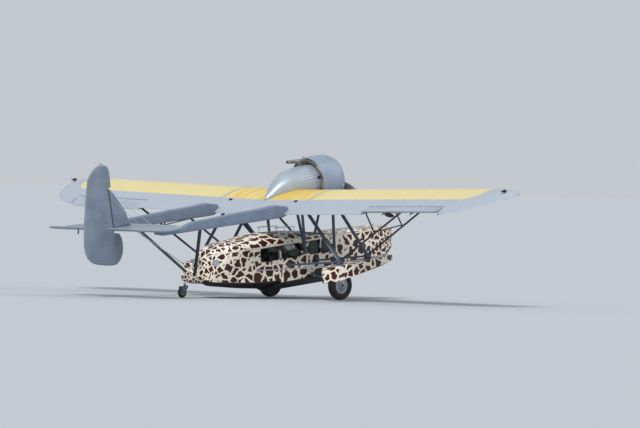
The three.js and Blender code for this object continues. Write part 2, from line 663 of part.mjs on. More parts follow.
// Landing gear, lowered. Turned sections: distance along the axle, radius
const axleIn = wheelY - 150;
const axleSection = [[-60, 0], [-60, 52], [0, 52], [0, 30], [170, 30], [170, 0]];
const tyreSection = [
  [-88, 235], [-92, 290], [-70, 335], [-30, 357], [0, tyreRadius], [30, 357], [70, 335], [92, 290],
  [88, 235], [60, 205], [-60, 205], [-88, 235],
];
const hubSection = [
  [-95, 36], [-95, 80], [-60, 110], [-60, 205 - GAP], [60, 205 - GAP], [70, 110], [95, 70],
  [95, 36], [-95, 36],
];
const tailTyreSection = [
  [-36, 20], [-36, 70], [-34, 110], [-18, 128], [0, tailTyreRadius], [18, 128], [34, 110],
  [36, 70], [36, 20], [-36, 20],
];
const braceFeet = [760, 1500];
const braceFootZ = -1600;
const swivelX = tailWheelX + 100;
const swivelZ = -1400;

function buildGear() {
  for (const [word, side] of [['right', -1], ['left', 1]]) {
    const turn = side * Math.PI / 2;
    const axle = at(wheelX, side * axleIn, wheelZ);
    const legs = join(
      bar(at(wheelX, side * 1190, 60), axle, 74, 74, 14),
      turned(axleSection, 16).rotateZ(turn).translate(axle.x, axle.y, axle.z),
      ...braceFeet.flatMap((x) => [
        bar(at(x, side * (hullHalf + 14), braceFootZ), axle, 70, 56, 12),
        sidePad(side, x - 60, x + 60, 28, braceFootZ - 40, braceFootZ + 40),
      ]),
    );
    const trimmed = cutBy(legs, wingCentre, [0, 0, -GAP]).subtract(hullSides);
    addMesh(`gear_leg_${word}`, toGeometry(trimmed), 'slate');

    const tyre = addMesh(`tyre_${word}`, turned(tyreSection, 32).rotateZ(turn), 'rubber');
    tyre.position.set(wheelX, side * wheelY, wheelZ);
    const hub = addMesh(`hub_${word}`, turned(hubSection, 32).rotateZ(turn), 'hub');
    hub.position.set(wheelX, side * wheelY, wheelZ);
  }

  const forkPin = new THREE.CylinderGeometry(26, 26, 70, 16).rotateX(Math.PI / 2).translate(0, 0, -41);
  const forkArm = (y) => box(-150, 60, y - 8, y + 8, -250, -70);
  const forkAxle = rod(14, 100, 12).rotateZ(Math.PI / 2)
    .translate(tailWheelX - swivelX, 0, tailWheelZ - swivelZ);
  const fork = join(forkPin, box(-150, 60, -58, 58, -90, -70), forkArm(50), forkArm(-50), forkAxle);
  addMesh('tail_fork', toGeometry(fork), 'slate').position.set(swivelX, 0, swivelZ);
  const tailTyre = addMesh('tail_wheel', turned(tailTyreSection, 24).rotateZ(Math.PI / 2), 'rubber');
  tailTyre.position.set(tailWheelX, 0, tailWheelZ);
}

buildWing();
buildHull();
buildCabin();
buildPower();
buildTail();
buildFloatsAndStruts();
buildGear();

// Parked attitude: main and tail wheels on the ground, then centred over the row's origin
const parkAngle = Math.atan2((tailWheelZ - tailTyreRadius) - (wheelZ - tyreRadius), wheelX - tailWheelX);
rig.rotation.y = -parkAngle;
const group = new THREE.Group();
group.add(rig);
group.updateMatrixWorld(true);
const bounds = new THREE.Box3().setFromObject(group, true);
rig.position.set(-(bounds.min.x + bounds.max.x) / 2, 0, -bounds.min.z);

export default group;
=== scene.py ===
# %% [markdown]
# # A floatplane dressed over its frame
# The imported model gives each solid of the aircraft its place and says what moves. This script puts the
# finished surfaces over it: fabric wings, an enamelled hull, struts, engine, cabin and wheels. Everything
# is in metres, and +X points to the nose, +Y to port and +Z up. The aircraft stands nose-up on its three
# wheels.

# %% Load the frame
import math

import bmesh
import bpy
from mathutils import Matrix, Vector


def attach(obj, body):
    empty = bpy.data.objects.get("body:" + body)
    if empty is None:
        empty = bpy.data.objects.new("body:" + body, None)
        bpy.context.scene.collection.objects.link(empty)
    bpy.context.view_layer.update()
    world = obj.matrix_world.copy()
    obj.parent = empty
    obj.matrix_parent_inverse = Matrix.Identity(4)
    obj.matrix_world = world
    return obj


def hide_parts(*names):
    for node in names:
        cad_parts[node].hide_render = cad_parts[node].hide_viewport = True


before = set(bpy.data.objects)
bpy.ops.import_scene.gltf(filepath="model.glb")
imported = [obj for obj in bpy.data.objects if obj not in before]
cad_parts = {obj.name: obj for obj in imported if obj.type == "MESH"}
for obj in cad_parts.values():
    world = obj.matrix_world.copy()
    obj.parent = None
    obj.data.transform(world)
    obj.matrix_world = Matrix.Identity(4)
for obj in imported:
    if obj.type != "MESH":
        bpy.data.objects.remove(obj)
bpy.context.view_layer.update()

# %% [markdown]
# ## The level airframe
# A builder's drawing shows an aircraft level, so its shapes are simplest to write that way. One matrix then
# stands them nose-up on the wheels. In the level drawing x = 0 and z = 0 are at the rear spar, under the
# wing.

# %% The parked attitude
PARK_ANGLE = math.radians(7.37047)
LEVEL_ORIGIN = Vector((0.892810, 0.0, 2.109715))
LEVEL = Matrix.Translation(LEVEL_ORIGIN) @ Matrix.Rotation(-PARK_ANGLE, 4, "Y")
SIDES = (("right", -1), ("left", 1))
print("nose in the row's frame:", [round(value, 3) for value in LEVEL @ Vector((3.92, 0.0, -1.0))])

# %% [markdown]
# ## Camera
# The photograph was taken with a long lens, from about 147 m away and 43 degrees off the tail. The camera
# stands as high over the ground as the photographer's did over the water, so the wing is seen almost
# edge-on.

# %% Camera
CAMERA_AZIMUTH, CAMERA_ELEVATION, CAMERA_ROLL = (math.radians(angle) for angle in (-43.19, 0.4, 1.4))
CAMERA_PLACE = Vector((-99.114, -108.457, 3.110))
camera_data = bpy.data.cameras.new("camera")
camera_data.sensor_width = 36.0
camera_data.lens = 341.5
camera_data.clip_start, camera_data.clip_end = 1.0, 1500.0
camera = bpy.data.objects.new("camera", camera_data)
bpy.context.scene.collection.objects.link(camera)
camera.location = CAMERA_PLACE
view_back = Vector((math.sin(CAMERA_AZIMUTH) * math.cos(CAMERA_ELEVATION),
                    -math.cos(CAMERA_AZIMUTH) * math.cos(CAMERA_ELEVATION), math.sin(CAMERA_ELEVATION)))
level_right = Vector((math.cos(CAMERA_AZIMUTH), math.sin(CAMERA_AZIMUTH), 0.0))
level_up = view_back.cross(level_right)
view_right = math.cos(CAMERA_ROLL) * level_right + math.sin(CAMERA_ROLL) * level_up
view_up = view_back.cross(view_right)
camera.rotation_mode = "QUATERNION"
camera.rotation_quaternion = Matrix((view_right, view_up, view_back)).transposed().to_quaternion()
bpy.context.scene.camera = camera
print("camera at", [round(value, 1) for value in CAMERA_PLACE])

# %% [markdown]
# ## Colours and nodes
# Paint charts and screens give colours as sRGB hex codes, and Blender's shaders want linear values, so one
# function turns the one into the other. A second one adds any node with its settings and its links in one
# line, which keeps the longer materials readable.

# %% Colour and node helpers
def srgb(code):
    """A hex colour as linear red, green, blue and alpha."""
    channels = [int(code[i:i + 2], 16) / 255 for i in (1, 3, 5)]
    return (*[c / 12.92 if c <= 0.04045 else ((c + 0.055) / 1.055) ** 2.4 for c in channels], 1.0)


def add(tree, kind, sockets=None, **settings):
    """Adds a node. sockets maps an input's name or number to a value or to another node's output."""
    made = tree.nodes.new(kind)
    for name, value in settings.items():
        setattr(made, name, value)
    for key, value in (sockets or {}).items():
        if isinstance(value, bpy.types.NodeSocket):
            tree.links.new(value, made.inputs[key])
        else:
            made.inputs[key].default_value = value
    return made


def new_material(name):
    """An empty material with its surface shader and output in place."""
    material = bpy.data.materials.new(name)
    material.use_nodes = True
    tree = material.node_tree
    tree.nodes.clear()
    shader = add(tree, "ShaderNodeBsdfPrincipled")
    add(tree, "ShaderNodeOutputMaterial", {"Surface": shader.outputs["BSDF"]})
    return material, tree, shader


def level_coordinates(tree):
    """Object coordinates turned back to the level drawing, in metres."""
    place = add(tree, "ShaderNodeTexCoord")
    turned = add(tree, "ShaderNodeMapping", {"Vector": place.outputs["Object"], "Location": LEVEL_ORIGIN,
                                             "Rotation": (0.0, -PARK_ANGLE, 0.0)}, vector_type="TEXTURE")
    return turned.outputs["Vector"]


def set_shader(shader, **values):
    """Sets the shader's own sockets: words joined by _ stand for the socket's name."""
    for name, value in values.items():
        shader.inputs[name.replace("_", " ")].default_value = value


print("colour check, mid grey:", round(srgb("#808080")[0], 3))

# %% [markdown]
# ## Studio
# A pale floor with no edge in sight and a soft sky from all round, with one broad lamp high on the left as
# the main light. The floor's colour and the sky's are alike, so that they meet without a line.

# %% Floor, sky and lamps
FLOOR_HALF = 600.0
floor_mesh = bpy.data.meshes.new("studio_floor")
floor_mesh.from_pydata([(x * FLOOR_HALF, y * FLOOR_HALF, 0.0)
                        for x, y in ((-1, -1), (1, -1), (1, 1), (-1, 1))], [], [(0, 1, 2, 3)])
studio_floor = bpy.data.objects.new("studio_floor", floor_mesh)
bpy.context.scene.collection.objects.link(studio_floor)
floor_paint, _, floor_shader = new_material("matt_floor_paint")
set_shader(floor_shader, Base_Color=srgb("#bcc0c4"), Roughness=0.9, Specular_IOR_Level=0.0)
floor_mesh.materials.append(floor_paint)

sky = bpy.data.worlds.new("studio_sky")
bpy.context.scene.world = sky
sky.use_nodes = True
sky.node_tree.nodes.clear()
sky_light = add(sky.node_tree, "ShaderNodeBackground", {"Color": srgb("#dfe4ea"), "Strength": 0.75})
add(sky.node_tree, "ShaderNodeOutputWorld", {"Surface": sky_light.outputs["Background"]})


def soft_sun(name, azimuth, elevation, strength, spread):
    """A sun lamp from a compass direction; its spread in degrees sets how soft the shadows are."""
    data = bpy.data.lights.new(name, "SUN")
    data.energy = strength
    data.angle = math.radians(spread)
    lamp = bpy.data.objects.new(name, data)
    a, e = math.radians(azimuth), math.radians(elevation)
    towards = Vector((math.sin(a) * math.cos(e), -math.cos(a) * math.cos(e), math.sin(e)))
    lamp.rotation_mode = "QUATERNION"
    lamp.rotation_quaternion = towards.to_track_quat("Z", "Y")
    bpy.context.scene.collection.objects.link(lamp)
    return lamp


soft_sun("main_lamp", azimuth=-57, elevation=44, strength=2.15, spread=14)
soft_sun("fill_lamp", azimuth=60, elevation=35, strength=0.35, spread=60)
bpy.context.scene.view_settings.view_transform = "Standard"

# %% [markdown]
# ## Mesh helpers
# Most parts of an aircraft are skins over a row of rings, such as a hull over its frames, or tubes along a
# line. The next helpers join rings to a closed skin, sweep a section along points, and set a finished mesh
# on its body.

# %% Skins, tubes and finished pieces
def ring_skin(rings, caps=True):
    """Faces between rings of equally many points; caps closes both ends."""
    count = len(rings[0])
    verts = [point for ring in rings for point in ring]
    faces = []
    for r in range(len(rings) - 1):
        for i in range(count):
            a, b = r * count + i, r * count + (i + 1) % count
            faces.append((a, b, b + count, a + count))
    if caps:
        last = (len(rings) - 1) * count
        faces.append(tuple(reversed(range(count))))
        faces.append(tuple(range(last, last + count)))
    return verts, faces


def merged(*parts):
    """Several (verts, faces) lists as one."""
    verts, faces = [], []
    for part_verts, part_faces in parts:
        start = len(verts)
        verts += [Vector(v) for v in part_verts]
        faces += [tuple(start + i for i in face) for face in part_faces]
    return verts, faces


def mesh_object(name, verts, faces, place=LEVEL, smooth_angle=40.0, weld=1e-5, turn_out=True):
    """A mesh in the row's frame with its doubles merged and its faces outwards."""
    mesh = bpy.data.meshes.new(name)
    mesh.from_pydata([place @ Vector(v) for v in verts], [], faces)
    shape = bmesh.new()
    shape.from_mesh(mesh)
    bmesh.ops.remove_doubles(shape, verts=shape.verts, dist=weld)
    bmesh.ops.dissolve_degenerate(shape, dist=weld, edges=shape.edges)
    if turn_out:
        bmesh.ops.recalc_face_normals(shape, faces=shape.faces)
    for face in shape.faces:
        face.smooth = smooth_angle > 0
    for edge in shape.edges:
        edge.smooth = len(edge.link_faces) == 2 and edge.calc_face_angle(0.0) < math.radians(smooth_angle)
    shape.to_mesh(mesh)
    shape.free()
    made = bpy.data.objects.new(name, mesh)
    bpy.context.scene.collection.objects.link(made)
    return made


def fit(made, material, body="airframe", stands_for=()):
    """Paints a piece, sets it on its body and hides the solids that it stands for."""
    if material is not None:
        made.data.materials.clear()
        made.data.materials.append(material)
    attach(made, body)
    if stands_for:
        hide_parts(*stands_for)
    return made


def dress(name, parts, material, slot, body="airframe", stands_for=(), **shape):
    """A finished piece from its (verts, faces), in one go."""
    return fit(mesh_object(name, *parts, **shape), material, body, stands_for)


def plain_mesh(made):
    """Leaves on an object the mesh that its modifiers make of it."""
    bpy.context.view_layer.update()
    mesh = bpy.data.meshes.new_from_object(made.evaluated_get(bpy.context.evaluated_depsgraph_get()))
    made.modifiers.clear()
    made.data = mesh
    return made


def curve_between(before, a, b, after, t):
    """The Catmull-Rom curve from a to b at the share t, for rows of numbers."""
    return tuple(0.5 * (2 * q + (r - p) * t + (2 * p - 5 * q + 4 * r - s) * t * t
                        + (3 * q - p - 3 * r + s) * t ** 3)
                 for p, q, r, s in zip(before, a, b, after))


def between_columns(rows, steps):
    """Rows of numbers filled in smoothly, steps to each gap between two rows."""
    filled = []
    for i in range(len(rows) - 1):
        before, after = rows[max(i - 1, 0)], rows[min(i + 2, len(rows) - 1)]
        filled += [list(curve_between(before, rows[i], rows[i + 1], after, k / steps))
                   for k in range(steps)]
    return filled + [list(rows[-1])]


def lerp(a, b, t):
    return a + (b - a) * t


def along(rows, x, column):
    """The straight-line value of a column at x, from rows whose first number is x."""
    rows = sorted(rows)
    if x <= rows[0][0]:
        return rows[0][column]
    for low, high in zip(rows, rows[1:]):
        if x <= high[0]:
            return lerp(low[column], high[column], (x - low[0]) / (high[0] - low[0]))
    return rows[-1][column]


def swept(points, section, closed=False):
    """A section of (side, up) offsets carried along points; up stays as near to +Z as it can."""
    points = [Vector(p) for p in points]
    rings = []
    for i, point in enumerate(points):
        ahead = points[(i + 1) % len(points)] if closed or i + 1 < len(points) else point
        behind = points[i - 1] if closed or i > 0 else point
        way = (ahead - behind).normalized()
        upright = Vector((0, 0, 1)) if abs(way.z) < 0.95 else Vector((1, 0, 0))
        side = way.cross(upright).normalized()
        up = side.cross(way)
        rings.append([point + side * s + up * u for s, u in section])
    if closed:
        rings.append(rings[0])
    return ring_skin(rings, caps=not closed)


def full_turn(count):
    """The angles of count equal steps round a circle."""
    return [2 * math.pi * i / count for i in range(count)]


def mirrored(half):
    """A symmetric row of (distance, radius) from its first half."""
    return half + [(-distance, radius) for distance, radius in reversed(half)]


def round_section(radius, sides=10):
    return [(radius * math.cos(a), radius * math.sin(a)) for a in full_turn(sides)]


def turned(profile, axis_point, axis, segments=32):
    """A lathe-turned body: profile rows are (distance along the axis, radius)."""
    axis = Vector(axis).normalized()
    helper = Vector((0, 0, 1)) if abs(axis.z) < 0.9 else Vector((1, 0, 0))
    u = axis.cross(helper).normalized()
    v = axis.cross(u)
    rings = []
    for distance, radius in profile:
        middle = Vector(axis_point) + axis * distance
        rings.append([middle + (u * math.cos(a) + v * math.sin(a)) * max(radius, 1e-4)
                      for a in full_turn(segments)])
    return ring_skin(rings)


def block(low, high, bevel=0.0):
    """A box between two corners, its edges cut back by bevel."""
    (x0, y0, z0), (x1, y1, z1) = low, high
    c = bevel
    return ring_skin([
        [(x0 + e + c, y0 + e, z), (x1 - e - c, y0 + e, z), (x1 - e, y0 + e + c, z), (x1 - e, y1 - e - c, z),
         (x1 - e - c, y1 - e, z), (x0 + e + c, y1 - e, z), (x0 + e, y1 - e - c, z), (x0 + e, y0 + e + c, z)]
        for z, e in ((z0, c), (z0 + c, 0.0), (z1 - c, 0.0), (z1, c))])


print("helpers ready")

# %% [markdown]
# ## Doped fabric
# Cloth is shrunk over the wing and tail frames and painted with several coats of dope, a thin lacquer. The
# eye sees a satin paint with the ribs showing as tapes and the cloth drawn in a little between them. The
# tapes are 50 mm wide. The weave itself is under half a millimetre, far too fine for any view here, so the
# bump has 6 mm grain. The upper side of the wing is pale yellow back to two thirds of the chord and silver
# behind it, and the yellow ends in a round corner before the tip.

# %% Wing fabric and silver dope
RIB_PITCH = 0.330
RIB_ROOT = 1.560
TAPE_WIDTH = 0.050
YELLOW_REAR_X, YELLOW_END_Y, YELLOW_CORNER = 0.030, 7.120, 0.450
DOPE_SILVER, DOPE_SILVER_WORN = srgb("#a8b0bb"), srgb("#9da6b1")
DOPE_YELLOW, DOPE_AMBER = srgb("#dbcc92"), srgb("#dcba50")


def tape_mask(tree, place, axis, pitch, start):
    """1 on the rib tapes, which lie square to an axis of the drawing, pitch metres apart."""
    split = add(tree, "ShaderNodeSeparateXYZ", {0: place})
    away = add(tree, "ShaderNodeMath", {0: split.outputs[axis]}, operation="ABSOLUTE")
    shifted = add(tree, "ShaderNodeMath", {0: away.outputs[0], 1: pitch / 2 - start}, operation="ADD")
    folded = add(tree, "ShaderNodeMath", {0: shifted.outputs[0], 1: pitch}, operation="FLOORED_MODULO")
    centred = add(tree, "ShaderNodeMath", {0: folded.outputs[0], 1: pitch / 2}, operation="SUBTRACT")
    distance = add(tree, "ShaderNodeMath", {0: centred.outputs[0]}, operation="ABSOLUTE")
    return add(tree, "ShaderNodeMapRange", {"Value": distance.outputs[0], "From Min": TAPE_WIDTH * 0.42,
                                            "From Max": TAPE_WIDTH * 0.5, "To Min": 1.0,
                                            "To Max": 0.0}).outputs[0]


def fabric_finish(tree, shader, place, colour, tape):
    """Dope over cloth: faint clouds of colour, paler tapes, and grain and tapes as bump."""
    clouds = add(tree, "ShaderNodeTexNoise", {"Vector": place, "Scale": 1.3, "Detail": 4.0})
    clouded = add(tree, "ShaderNodeMapRange", {"Value": clouds.outputs[0], "To Min": 0.93, "To Max": 1.05})
    taped = add(tree, "ShaderNodeMath", {0: tape, 1: 0.045, 2: clouded.outputs[0]},
                operation="MULTIPLY_ADD")
    shaded = add(tree, "ShaderNodeVectorMath", {0: colour, "Scale": taped.outputs[0]}, operation="SCALE")
    tree.links.new(shaded.outputs[0], shader.inputs["Base Color"])
    grain = add(tree, "ShaderNodeTexNoise", {"Vector": place, "Scale": 1 / 0.006, "Detail": 1.0})
    height = add(tree, "ShaderNodeMath", {0: grain.outputs[0], 1: 0.12, 2: tape}, operation="MULTIPLY_ADD")
    bump = add(tree, "ShaderNodeBump", {"Height": height.outputs[0], "Strength": 0.6, "Distance": 0.0015})
    tree.links.new(bump.outputs[0], shader.inputs["Normal"])
    set_shader(shader, Roughness=0.48, Metallic=0.0, IOR=1.47)


def wing_top_fabric():
    material, tree, shader = new_material("doped_wing_fabric_yellow_and_silver")
    place = level_coordinates(tree)
    split = add(tree, "ShaderNodeSeparateXYZ", {0: place})
    away = add(tree, "ShaderNodeMath", {0: split.outputs[1]}, operation="ABSOLUTE")
    behind = add(tree, "ShaderNodeMath", {0: YELLOW_REAR_X + YELLOW_CORNER, 1: split.outputs[0]},
                 operation="SUBTRACT")
    beyond = add(tree, "ShaderNodeMath", {0: away.outputs[0], 1: YELLOW_END_Y - YELLOW_CORNER},
                 operation="SUBTRACT")
    short = [add(tree, "ShaderNodeMath", {0: gap.outputs[0], 1: 0.0}, operation="MAXIMUM")
             for gap in (behind, beyond)]
    squares = [add(tree, "ShaderNodeMath", {0: gap.outputs[0], 1: 2.0}, operation="POWER") for gap in short]
    total = add(tree, "ShaderNodeMath", {0: squares[0].outputs[0], 1: squares[1].outputs[0]},
                operation="ADD")
    reach = add(tree, "ShaderNodeMath", {0: total.outputs[0]}, operation="SQRT")
    inside = add(tree, "ShaderNodeMapRange", {"Value": reach.outputs[0], "From Min": YELLOW_CORNER - 0.004,
                                              "From Max": YELLOW_CORNER + 0.004, "To Min": 1.0,
                                              "To Max": 0.0})
    # Behind the propeller the yellow is deeper, in streaks that run with the air
    stretched = add(tree, "ShaderNodeMapping", {"Vector": place, "Scale": (0.55, 3.4, 1.0)})
    streaks = add(tree, "ShaderNodeTexNoise", {"Vector": stretched.outputs[0], "Scale": 1.6, "Detail": 3.0})
    streaky = add(tree, "ShaderNodeMapRange", {"Value": streaks.outputs[0], "From Min": 0.34,
                                               "From Max": 0.56})
    near = add(tree, "ShaderNodeMapRange", {"Value": away.outputs[0], "From Min": 1.1, "From Max": 2.1,
                                            "To Min": 1.0, "To Max": 0.0}, interpolation_type="SMOOTHSTEP")
    deeper = add(tree, "ShaderNodeMath", {0: streaky.outputs[0], 1: near.outputs[0]}, operation="MULTIPLY")
    yellow = add(tree, "ShaderNodeMix", {"Factor": deeper.outputs[0], 6: DOPE_YELLOW, 7: DOPE_AMBER},
                 data_type="RGBA")
    whole = add(tree, "ShaderNodeMix", {"Factor": inside.outputs[0], 6: DOPE_SILVER, 7: yellow.outputs[2]},
                data_type="RGBA")
    fabric_finish(tree, shader, place, whole.outputs[2], tape_mask(tree, place, 1, RIB_PITCH, RIB_ROOT))
    return material


def silver_fabric(name, axis, pitch, start, tone=DOPE_SILVER, worn=DOPE_SILVER_WORN):
    """Silver dope with its rib tapes square to an axis of the level drawing."""
    material, tree, shader = new_material(name)
    place = level_coordinates(tree)
    patches = add(tree, "ShaderNodeTexNoise", {"Vector": place, "Scale": 2.2, "Detail": 3.0})
    blend = add(tree, "ShaderNodeMapRange", {"Value": patches.outputs[0], "From Min": 0.4,
                                             "From Max": 0.65})
    tone_mix = add(tree, "ShaderNodeMix", {"Factor": blend.outputs[0], 6: tone, 7: worn}, data_type="RGBA")
    fabric_finish(tree, shader, place, tone_mix.outputs[2], tape_mask(tree, place, axis, pitch, start))
    return material


WING_TOP = wing_top_fabric()
WING_UNDER = silver_fabric("doped_wing_fabric_silver", 1, RIB_PITCH, RIB_ROOT)
# The tail's silver is darker than the wing's: painted shade, for the shaded underside of tailplane and
# elevators
SHADED_TAIL_FABRIC = silver_fabric("doped_tail_fabric_silver_in_painted_shade", 1, 0.300, 0.150, srgb("#8d98a6"), srgb("#7f8a98"))
# Darker still on the fin and rudder: painted shade on their upright faces, which the lamps light less
SHADED_FIN_AND_RUDDER_FABRIC = silver_fabric("doped_fin_and_rudder_silver_in_painted_shade", 2, 0.260, 0.0, srgb("#808c9c"), srgb("#737f8e"))
print("fabrics:", [m.name for m in (WING_TOP, WING_UNDER, SHADED_TAIL_FABRIC, SHADED_FIN_AND_RUDDER_FABRIC)])

# %% [markdown]
# ## Wing
# The section is thick and cambered, and its numbers are those of the CAD part. Between two ribs the cloth
# sinks by a few millimetres, which gives a fabric wing its soft scallops in the light, so there are four
# rings to a bay. The aileron's bay is cut by bending the rear of each ring there into a round cove in front
# of the hinge. Four numbers shape the round tips: the power of their outline, the share of the narrowing
# that the front edge takes, the rise of the end, and the share of the tip over which the underside comes up
# to meet the upper side.

# %% Wing section and rings
CHORD, LEADING_X, TRAILING_Z = 1.950, 1.343, -0.007
INCIDENCE, DIHEDRAL = 0.0872, 0.0222
TIP_START, SPAN_HALF = 6.370, 7.925
TIP_POWER, TIP_FRONT, TIP_LIFT, TIP_THINNING = 1.8, 0.3, 0.200, 0.45
CAMBER, CAMBER_AT, THICKNESS = 0.06, 0.4, 0.22
HINGE_X, AILERON_IN, AILERON_OUT, AILERON_GAP, AILERON_NOSE = -0.310, 4.000, 6.545, 0.012, 0.068
COVE_LIMIT = math.radians(76.0)
CENTRE_HALF = 1.560
FABRIC_SINK = 0.006
FRONT_STEPS, REAR_STEPS = 26, 9
SPLIT_END_Y = TIP_START + 0.3


def section_height(s, upper, lower_share=1.0):
    """Height of the section over its chord line at the share s of the chord, as a share of the chord."""
    if s < CAMBER_AT:
        middle = (CAMBER / CAMBER_AT ** 2) * (2 * CAMBER_AT * s - s * s)
    else:
        middle = (CAMBER / (1 - CAMBER_AT) ** 2) * (1 - 2 * CAMBER_AT + 2 * CAMBER_AT * s - s * s)
    half = 5 * THICKNESS * (0.2969 * math.sqrt(s) - 0.126 * s - 0.3516 * s ** 2 + 0.2843 * s ** 3
                            - 0.1036 * s ** 4) + 0.003 * s
    return middle + (half if upper else -lower_share * half)


def wing_point(y, s, upper):
    """A point of the wing's skin at span position y, which is positive or negative."""
    away = abs(y)
    tip = max(0.0, (away - TIP_START) / (SPAN_HALF - TIP_START))
    scale = max(0.006, 1 - tip * tip) ** (1 / TIP_POWER)
    local = CHORD * scale
    nose = LEADING_X - TIP_FRONT * (CHORD - local)
    rise = TRAILING_Z + INCIDENCE * CHORD / 2 + DIHEDRAL * away + TIP_LIFT * tip * tip
    thinned = min(1.0, tip / TIP_THINNING)
    lower_share = 1 - 0.95 * thinned * thinned * (3 - 2 * thinned)
    bay = ((away - RIB_ROOT) / RIB_PITCH) % 1.0
    ramp = min(1.0, max(0.0, (s - 0.06) / 0.10)) * min(1.0, max(0.0, (0.97 - s) / 0.10))
    sink = FABRIC_SINK * math.sin(math.pi * bay) ** 2 * (ramp * (1.0 if tip == 0 else scale))
    height = section_height(s, upper, lower_share) * local + (-sink if upper else sink)
    return Vector((nose - s * local, y, rise + INCIDENCE * (0.5 - s) * local + height))


def hinge_point(y):
    """The aileron's hinge, halfway between the skins."""
    s = (LEADING_X - HINGE_X) / CHORD
    middle = (section_height(s, True) + section_height(s, False)) / 2
    return Vector((HINGE_X, y, TRAILING_Z + INCIDENCE * (HINGE_X - LEADING_X + CHORD) + DIHEDRAL * abs(y)
                   + middle * CHORD))


def chord_share(y, x):
    """The share of the chord at which x lies."""
    nose, tail = wing_point(y, 0.0, True).x, wing_point(y, 1.0, True).x
    return (nose - x) / (nose - tail)


def share_at(y, x):
    """The share at which a ring at y passes x; beyond SPLIT_END_Y all rings are split at the same one."""
    return (LEADING_X - HINGE_X) / CHORD if abs(y) > SPLIT_END_Y else chord_share(y, x)


def front_half(y, cut_x, low_cut_x):
    """Skin points from cut_x on the upper side, round the nose and back to low_cut_x on the lower side."""
    upper, lower = ([share_at(y, x) * (1 - math.cos(0.5 * math.pi * i / FRONT_STEPS))
                     for i in range(FRONT_STEPS + 1)] for x in (cut_x, low_cut_x))
    return [wing_point(y, s, True) for s in reversed(upper)] + [wing_point(y, s, False) for s in lower[1:]]


def rear_half(y, cut_x):
    """Skin points from cut_x on the lower side round the trailing edge to cut_x on the upper side."""
    edge = share_at(y, cut_x)
    shares = [lerp(edge, 1.0, i / REAR_STEPS) for i in range(REAR_STEPS + 1)]
    return [wing_point(y, s, False) for s in shares] + [wing_point(y, s, True) for s in reversed(shares)]


def cove(y, radius):
    """The hollow in front of the aileron, from its lower to its upper edge, where it meets the skins."""
    middle, count = hinge_point(y), 2 * REAR_STEPS + 2
    share = share_at(y, middle.x)
    drops = [abs(wing_point(y, share, upper).z - middle.z) / radius for upper in (False, True)]
    low, high = (min(COVE_LIMIT, math.asin(min(1.0, drop))) for drop in drops)
    return [middle + Vector((radius * math.cos(a), 0.0, radius * math.sin(a)))
            for a in (lerp(-low, high, i / (count - 1)) for i in range(count))]


def wing_ring(y, in_bay):
    rear = cove(y, AILERON_NOSE + AILERON_GAP) if in_bay else rear_half(y, HINGE_X)
    cut_x, low_cut_x = (rear[-1].x, rear[0].x) if in_bay else (HINGE_X, HINGE_X)
    return front_half(y, cut_x, low_cut_x) + rear


print("wing at its root:", [round(value, 3) for value in wing_point(CENTRE_HALF, 0.3, True)])

# %% Wing panels, centre section and ailerons
def paint_wing(made):
    """The upper fabric on the faces of a ring's upper side, the silver one elsewhere."""
    made.data.materials.append(WING_TOP)
    made.data.materials.append(WING_UNDER)
    for face in made.data.polygons:
        centre = LEVEL.inverted() @ face.center
        s = min(1.0, max(0.0, chord_share(centre.y, centre.x)))
        middle = (wing_point(centre.y, s, True).z + wing_point(centre.y, s, False).z) / 2
        face.material_index = 0 if centre.z > middle else 1


rib_lines = [RIB_ROOT + RIB_PITCH * i / 4 for i in range(61)]
bay_edges = (AILERON_IN - AILERON_GAP, AILERON_OUT + AILERON_GAP)
tip_lines = [TIP_START + (SPAN_HALF - TIP_START) * math.sin(math.pi / 2 * k / 14) for k in range(2, 15)]
span_lines = sorted({round(y, 4) for y in [CENTRE_HALF + 0.0004, *rib_lines[1:], *tip_lines]
                     if all(abs(y - edge) > 0.02 for edge in bay_edges)})

for word, side in SIDES:
    stations = [(y, bay_edges[0] < y < bay_edges[1]) for y in span_lines]
    for edge, inside_first in ((bay_edges[0], False), (bay_edges[1], True)):
        stations += [(edge, inside_first), (edge + 1e-6, not inside_first)]
    rings = [wing_ring(side * y, in_bay) for y, in_bay in sorted(stations)]
    panel = mesh_object(f"wing_skin_{word}", *ring_skin(rings), smooth_angle=35)
    paint_wing(panel)
    fit(panel, None, stands_for=[f"wing_{word}"])

centre_lines = [CENTRE_HALF * k / 12 for k in range(-12, 13)]
centre_skin = mesh_object("wing_skin_centre", *ring_skin([wing_ring(y, False) for y in centre_lines]),
                          smooth_angle=35)
paint_wing(centre_skin)
fit(centre_skin, None, stands_for=["wing_centre"])

AILERON_REST = {"right": 15.0, "left": -10.0}


def aileron_ring(y):
    middle = hinge_point(y)
    rear = rear_half(y, HINGE_X)
    low, high = rear[0], rear[-1]
    nose = []
    for i in range(1, 12):
        angle = math.pi / 2 - math.pi * i / 12
        half = lerp((middle - low).z, (high - middle).z, (math.sin(angle) + 1) / 2)
        nose.append(middle + Vector((AILERON_NOSE * math.cos(angle), 0.0, half * math.sin(angle))))
    return rear + nose


AILERON_PLACE = {}
for word, side in SIDES:
    hinge = hinge_point(side * AILERON_IN)
    axis = Vector((0.0, 1.0, side * DIHEDRAL)).normalized()
    AILERON_PLACE[word] = (LEVEL @ Matrix.Translation(hinge)
                           @ Matrix.Rotation(math.radians(AILERON_REST[word]), 4, axis)
                           @ Matrix.Translation(-hinge))
    inner_lines = [y for y in rib_lines if AILERON_IN + 0.02 < y < AILERON_OUT - 0.02]
    rings = [aileron_ring(side * y) for y in [AILERON_IN, *inner_lines, AILERON_OUT]]
    dress(f"aileron_skin_{word}", ring_skin(rings), WING_UNDER,
          "silver_fabric", body=f"aileron_{word}_body", stands_for=[f"aileron_{word}"],
          place=AILERON_PLACE[word], smooth_angle=35)

